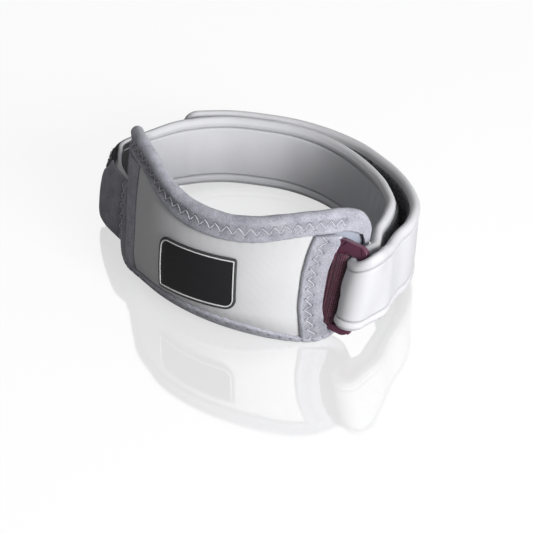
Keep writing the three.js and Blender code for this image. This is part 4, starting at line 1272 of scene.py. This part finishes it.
class KNEEBRACE_OT_end_cover(bpy.types.Operator):
    """Velour cover over the strap's sewn end, with its zigzag seam"""
    bl_idname = "kneebrace.end_cover"
    bl_label = "Strap end cover"

    def execute(self, context):
        cloth = context.scene.brace_cloth
        sewing = context.scene.brace_sewing
        low = STRAP_THICKNESS / 2 + GAP
        width = COVER["width"]
        press = sewing.press / MM * STITCH["light_press"]
        reach = sewing.zigzag_width / MM / 2
        turns = round(width / (sewing.zigzag_pitch / MM))
        pitch = width / turns
        edges = SmoothCurve(LEFT_STRIP_EDGES).at(np.linspace(0, 1, 200))

        def on_cover(along, across, out):
            """A place on the strap or, past its end, where the cover comes down on to the pad"""
            along, across, out = np.broadcast_arrays(np.asarray(along, float), across, out)
            along = along * np.where(along > 0, cover_end(across) / COVER["length"], 1)
            start = on_strap(0, across, out)
            heading = start - on_strap(1, across, out)
            z = start[..., 2] + PAD_ROLL * start[..., 0]
            bottom, crest = FLANGE_HEIGHTS.span(COVER["pad_at"])
            part = (z - bottom) / (crest - bottom)
            u = COVER["lap"] - np.interp(part, edges[:, 0], edges[:, 2])
            end = pad_point(u, z, COVER["pad_depth"] - (out - low))
            t = np.clip(-along / COVER["past_end"], 0, 1)[..., None]
            over = start + heading * COVER["carry"]
            down = end + pad_outward(u, z) * COVER["step"]
            past = (1 - t) ** 3 * start + 3 * (1 - t) ** 2 * t * over + 3 * (1 - t) * t * t * down + t ** 3 * end
            return np.where(t > 0, past, on_strap(np.maximum(along, 0), across, out))

        def top(along, across):
            from_ends = np.minimum(along + COVER["past_end"], COVER["length"] - along)
            rim = np.minimum(from_ends, width / 2 - np.abs(across))
            swell = COVER["swell"] * smooth(rim, 0, COVER["swell_width"])
            drop = COVER["edge_drop"] * (1 - smooth(rim, 0, COVER["edge_width"]))
            return low + COVER["thickness"] + swell - drop

        along = np.arange(-COVER["past_end"], COVER["length"] + 0.1, 0.35)[:, None]
        across = np.linspace(-width / 2, width / 2, 64)[None]
        valley, thread, hole = stitched(across + width / 2, along, pitch, COVER["seam"], reach)
        level = top(along, across) - press * valley - dented(thread, hole)
        flat = np.stack(np.broadcast_arrays(across, along), axis=-1)
        # Painted shade: the whole cover darker on the shaded left, with a darker seam valley and needle holes
        shade = np.clip(COVER["shade"] + STITCH["valley_shade"] * valley + COVER["hole_shade"] * hole, 0, 1)
        over, under = (on_cover(along, across, out) for out in (level, low))
        piece = layer("strap_end_cover_velour", over, under, flat, seam=shade)
        settle(piece, "velour", velour_material(cloth), "strap_end_cover")

        def surface(places):
            at_across = (places / turns - 0.5) * width
            at_along = COVER["seam"] + reach * zigzag(places)
            pulled = press * seam_valley(at_along - COVER["seam"], reach)
            at_level = top(at_along, at_across) - pulled
            points = on_cover(at_along, at_across, at_level)
            return points, unit(on_cover(at_along, at_across, at_level + 1) - points), True

        stitches = zigzag_threads("strap_end_cover_stitches", surface, turns, sewing)
        return {"FINISHED"}


class KNEEBRACE_OT_pile_and_hook(bpy.types.Operator):
    """Loop pile on the strap's second face and the hook tape at its free end"""
    bl_idname = "kneebrace.pile_and_hook"
    bl_label = "Pile and hook"

    def execute(self, context):
        cloth = context.scene.brace_cloth
        low = STRAP_THICKNESS / 2 + GAP
        ground = low + PILE["thickness"] * 0.5
        width = PILE["width"]
        hook_end = STRAP_LENGTH - HOOK_FROM_END
        hook_start = hook_end - HOOK_LENGTH
        # What lies on the strap: where it starts and ends, and its tufts' spacing, span, radius and rise
        spans = (
            ("strap_pile", "pile", lambda across: cover_end(across) + GAP, hook_start - GAP,
             "loops", 0.95, 0.75, 0.12, 0.5),
            ("hook_patch", "hook", lambda across: np.full_like(across, hook_start), hook_end,
             "hooks", 1.3, 0.35, 0.09, 0.5),
        )
        for node, slot, start, end, tufts, spacing, span, radius, rise in spans:
            material = pile_material(f"{slot}_black", cloth.pile_colour)
            piece = strap_layer(f"{node}_ground", start, end, width, low, ground)
            settle(piece, slot, material, node)
            first = float(start(np.array((-width / 2, width / 2))).min())
            margin, end_margin = TUFTS["from_ends"]
            low_margin, high_margin = TUFTS["from_sides"]
            along, across = np.meshgrid(
                np.arange(first + margin, end - end_margin, spacing * TUFTS["stretch"]),
                np.arange(-width / 2 + low_margin, width / 2 - high_margin, spacing), indexing="ij")
            jitter = TUFTS["jitter"]
            along, across = (
                (place + rng.uniform(-jitter, jitter, place.shape)).ravel() for place in (along, across))
            clear = along > start(across) + margin
            along, across = along[clear], across[clear]
            turn = rng.uniform(0, 2 * math.pi, along.shape)
            step_along, step_across = span / 2 * np.cos(turn), span / 2 * np.sin(turn)
            starts = on_strap(along - step_along, across - step_across, ground)
            ends = on_strap(along + step_along, across + step_across, ground)
            outward = unit(on_strap(along, across, ground + 1) - on_strap(along, across, ground))
            loops = threads(f"{node}_{tufts}", starts, ends, outward, radius, rise, sides=3, steps=3)
            settle(loops, slot, material)
        return {"FINISHED"}


# Ring and webbing

class KNEEBRACE_OT_ring(bpy.types.Operator):
    """Moulded ring with two round bars and two arms"""
    bl_idname = "kneebrace.ring"
    bl_label = "Ring"

    def execute(self, context):
        fittings = context.scene.brace_fittings
        wide = (RING_PITCH + RING_BAR) * MM
        tall = (RING_OPENING_HEIGHT + 2 * RING_ARM) * MM
        bpy.ops.object.select_all(action="DESELECT")
        bpy.ops.mesh.primitive_cube_add(size=1, scale=(wide, tall, RING_BAR * MM))
        ring = context.object
        ring.name = "strap_ring_moulded"
        bpy.ops.object.transform_apply(scale=True)
        mesh = ring.data
        choose(mesh, "FACE", lambda face: abs(face.normal.z) > 0.9)
        bpy.ops.mesh.inset(thickness=RING_BAR * MM, use_individual=True)
        shrink = RING_OPENING_HEIGHT * MM / (tall - 2 * RING_BAR * MM)
        bpy.ops.transform.resize(value=(1, shrink, 1), center_override=(0, 0, 0))
        bpy.ops.mesh.bridge_edge_loops()
        bpy.ops.object.mode_set(mode="OBJECT")

        def upright(edge, at_outside):
            a, b = (mesh.vertices[i].co for i in edge.vertices)
            straight = (a.xy - b.xy).length < 1e-6
            return straight and (abs(a.x) > 0.49 * wide) == at_outside

        choose(mesh, "EDGE", lambda edge: upright(edge, True))
        bpy.ops.mesh.bevel(offset=RING_CORNER * MM, segments=10, affect="EDGES")
        bpy.ops.object.mode_set(mode="OBJECT")
        choose(mesh, "EDGE", lambda edge: upright(edge, False) and abs(mesh.vertices[edge.vertices[0]].co.x) <
               (RING_PITCH - RING_BAR * 0.9) / 2 * MM)
        bpy.ops.mesh.bevel(offset=RING_OPENING_CORNER * MM, segments=6, affect="EDGES")
        bpy.ops.object.mode_set(mode="OBJECT")
        modify(ring, "BEVEL", width=RING_EDGE * MM, segments=4, limit_method="ANGLE", angle_limit=math.radians(50))
        up = unit(np.array((0, 0, 1)) + RING_RISE)
        facing = unit(np.cross(RING_ALONG, up))
        turned = np.stack([np.cross(up, facing), up, facing], axis=1)
        points = read_points(mesh) / MM
        across, height, _ = points.T.copy()
        points[:, 1] -= RING_SET["drop"] * smooth(height, 0, RING_OPENING_HEIGHT / 2)
        points[:, 1] -= RING_SET["deep"] * fade(height, *RING_SET["inner_edge"])
        points[:, 1] -= RING_SET["low"] * fade(-height, *RING_SET["inner_edge"])
        ear = smooth(-across, RING_PITCH / 2 - RING_SET["ear_length"], RING_PITCH / 2)
        ear = ear * smooth(np.abs(height), *RING_SET["ear_height"])
        points[:, 0] -= RING_SET["reach"] * ear
        points[:, 2] += RING_SET["bend"] * ear
        write_points(mesh, in_row(points @ turned.T + RING_MIDDLE))
        bpy.ops.object.shade_smooth_by_angle(angle=math.radians(35))
        burgundy = moulded_material(
            "ring_burgundy", fittings.ring_colour, 0.3, grain_depth=0.03, grain_scale=900, coat=0.5)
        settle(ring, "ring", burgundy, "strap_ring")
        return {"FINISHED"}


def webbing_line(z):
    wrap = RING_BAR / 2 + WRAP_GAP + WEBBING["thickness"] / 2
    up = (z - WEBBING["low"]) / (WEBBING["high"] - WEBBING["low"])
    leaves = WEBBING["leaves_low"] + (WEBBING["leaves_high"] - WEBBING["leaves_low"]) * up
    on_pad = pad_point(np.linspace(WEBBING["root"], leaves, 3), z, WEBBING["depths"])
    bar = RING_NEAR_BAR + RING_RISE * z
    turns = np.radians(WEBBING_TURNS)
    round_bar = np.stack([bar[0] + wrap * np.cos(turns), bar[1] + wrap * np.sin(turns), np.full(len(turns), z)],
                         axis=1)
    return SmoothCurve(np.vstack([on_pad, round_bar]))


class KNEEBRACE_OT_webbing(bpy.types.Operator):
    """Woven webbing from under the right strip round the ring's near bar"""
    bl_idname = "kneebrace.webbing"
    bl_label = "Ring webbing"

    def execute(self, context):
        cloth = context.scene.brace_cloth
        width = WEBBING["high"] - WEBBING["low"]
        low, high = (webbing_line(WEBBING[edge]) for edge in ("low", "high"))
        share = np.linspace(0, 1, MESH["webbing"][0])
        up = np.linspace(0, 1, MESH["webbing"][1])[None, :, None]
        middle = low.at(share)[:, None] * (1 - up) + high.at(share)[:, None] * up
        along = low.heading(share)[:, None] * (1 - up) + high.heading(share)[:, None] * up
        out = unit(np.stack([-along[..., 1], along[..., 0], np.zeros(along.shape[:2])], axis=-1))
        thick = WEBBING["thickness"] / 2
        edge = np.minimum(up, 1 - up) * width
        bead = SELVAGE["bead"] * np.exp(-((edge - SELVAGE["bead_at"]) / SELVAGE["bead_width"]) ** 2)
        selvage = thick * (1 - SELVAGE["thinner"] * (1 - smooth(edge, 0, SELVAGE["thin_width"]))) + bead
        flat = np.stack(np.broadcast_arrays((low.length * share)[:, None], up[..., 0] * width), axis=-1)
        piece = layer("ring_webbing_woven", middle + out * selvage, middle - out * selvage, flat)
        settle(piece, "webbing", webbing_material(cloth), "ring_webbing")
        return {"FINISHED"}


# Stage

def mix_shaders(tree, share, first, second):
    node = add_node(tree, "ShaderNodeMixShader")
    feed(tree, node, Fac=share)
    for place, each in ((1, first), (2, second)):
        plug(tree, node.inputs[place], each.outputs[0])
    return node


def soft_box(name, place, aim, size, power):
    light = bpy.data.lights.new(name, "AREA")
    light.shape = "SQUARE"
    light.size = size
    light.energy = power
    lamp = bpy.data.objects.new(name, light)
    bpy.context.collection.objects.link(lamp)
    lamp.location = place
    lamp.rotation_euler = (Vector(aim) - Vector(place)).to_track_quat("-Z", "Y").to_euler()


def floor_material(stage):
    """White with a faint mirror where the camera sees it, and dull where it lights the brace"""
    material, tree, shader = new_material("floor_pale", Roughness=0.6, Specular_IOR_Level=0.2)
    cloudy = noise_node(tree, object_vector(tree), 3, 2)
    feed(tree, shader, Base_Color=mix_node(tree, cloudy, *shades(stage.floor_colour, 0.985, 1)))
    glow = add_node(tree, "ShaderNodeEmission")
    feed(tree, glow, Color=(1, 1, 1, 1), Strength=FLOOR["glow"])
    mirror = add_node(tree, "ShaderNodeBsdfGlossy")
    feed(tree, mirror, Color=(1, 1, 1, 1), Roughness=FLOOR["gloss"])
    dull = add_node(tree, "ShaderNodeBsdfDiffuse")
    feed(tree, dull, Color=(stage.bounce, stage.bounce, stage.bounce, 1))
    seen = add_node(tree, "ShaderNodeLightPath").outputs["Is Camera Ray"]
    lit = mix_shaders(tree, FLOOR["lit"], shader, glow)
    polished = mix_shaders(tree, FLOOR["mirror"], lit, mirror)
    both = mix_shaders(tree, seen, dull, polished)
    feed(tree, tree.nodes["Material Output"], Surface=both.outputs[0])
    return material


def camera_axes():
    """The camera's right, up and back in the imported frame, as columns"""
    sin_a, cos_a = math.sin(CAMERA_AZIMUTH), math.cos(CAMERA_AZIMUTH)
    sin_e, cos_e = math.sin(CAMERA_ELEVATION), math.cos(CAMERA_ELEVATION)
    back = np.array((sin_a * cos_e, -cos_a * cos_e, sin_e))
    level = np.array((cos_a, sin_a, 0))
    right = math.cos(CAMERA_ROLL) * level + math.sin(CAMERA_ROLL) * np.cross(back, level)
    return LEAN @ np.stack([right, np.cross(back, right), back], axis=1)


def room_world(stage, turned):
    """White where the camera sees it, and a dim room where it lights the brace"""
    world = bpy.data.worlds.new("room")
    world.use_nodes = True
    nodes = world.node_tree
    direction = add_node(nodes, "ShaderNodeTexCoord").outputs["Generated"]
    towards = axes_of(nodes, direction)
    sides = [stage.room_light * ROOM[side] for side in ("left", "right")]
    fall = range_node(nodes, towards["X"], -1.0, 1.0, *sides)
    behind = range_node(nodes, towards["Y"], *ROOM["behind"], 0.0, stage.backdrop)
    # A white card where the floor's mirror looks
    mirrored = add_node(nodes, "ShaderNodeVectorMath", operation="DOT_PRODUCT")
    plug(nodes, mirrored.inputs[0], direction)
    plug(nodes, mirrored.inputs[1], tuple(-turned[:2, 2]) + (turned[2, 2],))
    card = range_node(nodes, mirrored.outputs["Value"], *ROOM["card"])
    strength = math_node(nodes, "MAXIMUM", math_node(nodes, "ADD", fall, behind), card)
    room = nodes.nodes["Background"]
    feed(nodes, room, Color=(1, 1, 1, 1), Strength=strength)
    seen = add_node(nodes, "ShaderNodeBackground")
    feed(nodes, seen, Color=(1, 1, 1, 1), Strength=1.0)
    path = add_node(nodes, "ShaderNodeLightPath").outputs["Is Camera Ray"]
    feed(nodes, nodes.nodes["World Output"], Surface=mix_shaders(nodes, path, room, seen).outputs[0])
    return world


class KNEEBRACE_OT_stage(bpy.types.Operator):
    """Pale floor, soft studio light and the camera"""
    bl_idname = "kneebrace.stage"
    bl_label = "Stage"

    def execute(self, context):
        stage = context.scene.brace_stage
        bpy.ops.object.select_all(action="DESELECT")
        bpy.ops.mesh.primitive_plane_add(size=6)
        floor = context.object
        floor.name = "floor"
        floor.data.materials.append(floor_material(stage))

        turned = camera_axes()
        context.scene.world = room_world(stage, turned)
        soft_box("key", place=(1.0, -0.32, 0.45), aim=(0.02, 0, 0.03), size=0.5, power=stage.key_power)
        soft_box("top", place=(0.22, -0.25, 1.15), aim=(0, 0, 0.02), size=0.8, power=stage.top_power)

        eye = bpy.data.cameras.new("camera")
        eye.lens = stage.lens
        eye.sensor_width = 36
        eye.clip_end = 20
        camera = bpy.data.objects.new("camera", eye)
        context.collection.objects.link(camera)
        camera.matrix_world = Matrix.Translation(in_row(CAMERA_PLACE)) @ Matrix(turned.tolist()).to_4x4()
        context.scene.camera = camera
        context.scene.view_settings.view_transform = "Standard"
        return {"FINISHED"}


PIECES = (
    KNEEBRACE_OT_pad_body, KNEEBRACE_OT_pad_face, KNEEBRACE_OT_pad_binding, KNEEBRACE_OT_side_strips,
    KNEEBRACE_OT_label, KNEEBRACE_OT_label_line, KNEEBRACE_OT_strap, KNEEBRACE_OT_end_cover,
    KNEEBRACE_OT_pile_and_hook, KNEEBRACE_OT_ring, KNEEBRACE_OT_webbing, KNEEBRACE_OT_stage,
)
SETTINGS = (
    ("brace_cloth", BraceCloth), ("brace_sewing", BraceSewing),
    ("brace_fittings", BraceFittings), ("brace_stage", BraceStage),
)


class KNEEBRACE_PT_panel(bpy.types.Panel):
    bl_idname = "KNEEBRACE_PT_panel"
    bl_label = "Knee brace"
    bl_space_type = "VIEW_3D"
    bl_region_type = "UI"
    bl_category = "Knee brace"

    def draw(self, context):
        for attribute, group in SETTINGS:
            box = self.layout.box()
            for prop in group.__annotations__:
                box.prop(getattr(context.scene, attribute), prop)
        for operator in PIECES:
            self.layout.operator(operator.bl_idname)


def register():
    for attribute, group in SETTINGS:
        bpy.utils.register_class(group)
        setattr(bpy.types.Scene, attribute, bpy.props.PointerProperty(type=group))
    for operator in PIECES:
        bpy.utils.register_class(operator)
    bpy.utils.register_class(KNEEBRACE_PT_panel)


def unregister():
    bpy.utils.unregister_class(KNEEBRACE_PT_panel)
    for operator in reversed(PIECES):
        bpy.utils.unregister_class(operator)
    for attribute, group in reversed(SETTINGS):
        delattr(bpy.types.Scene, attribute)
        bpy.utils.unregister_class(group)


def main():
    register()
    bpy.ops.kneebrace.pad_body()
    bpy.ops.kneebrace.pad_face()
    bpy.ops.kneebrace.pad_binding()
    bpy.ops.kneebrace.side_strips()
    bpy.ops.kneebrace.label()
    bpy.ops.kneebrace.label_line()
    bpy.ops.kneebrace.strap()
    bpy.ops.kneebrace.end_cover()
    bpy.ops.kneebrace.pile_and_hook()
    bpy.ops.kneebrace.ring()
    bpy.ops.kneebrace.webbing()
    bpy.ops.kneebrace.stage()


if __name__ == "__main__":
    main()
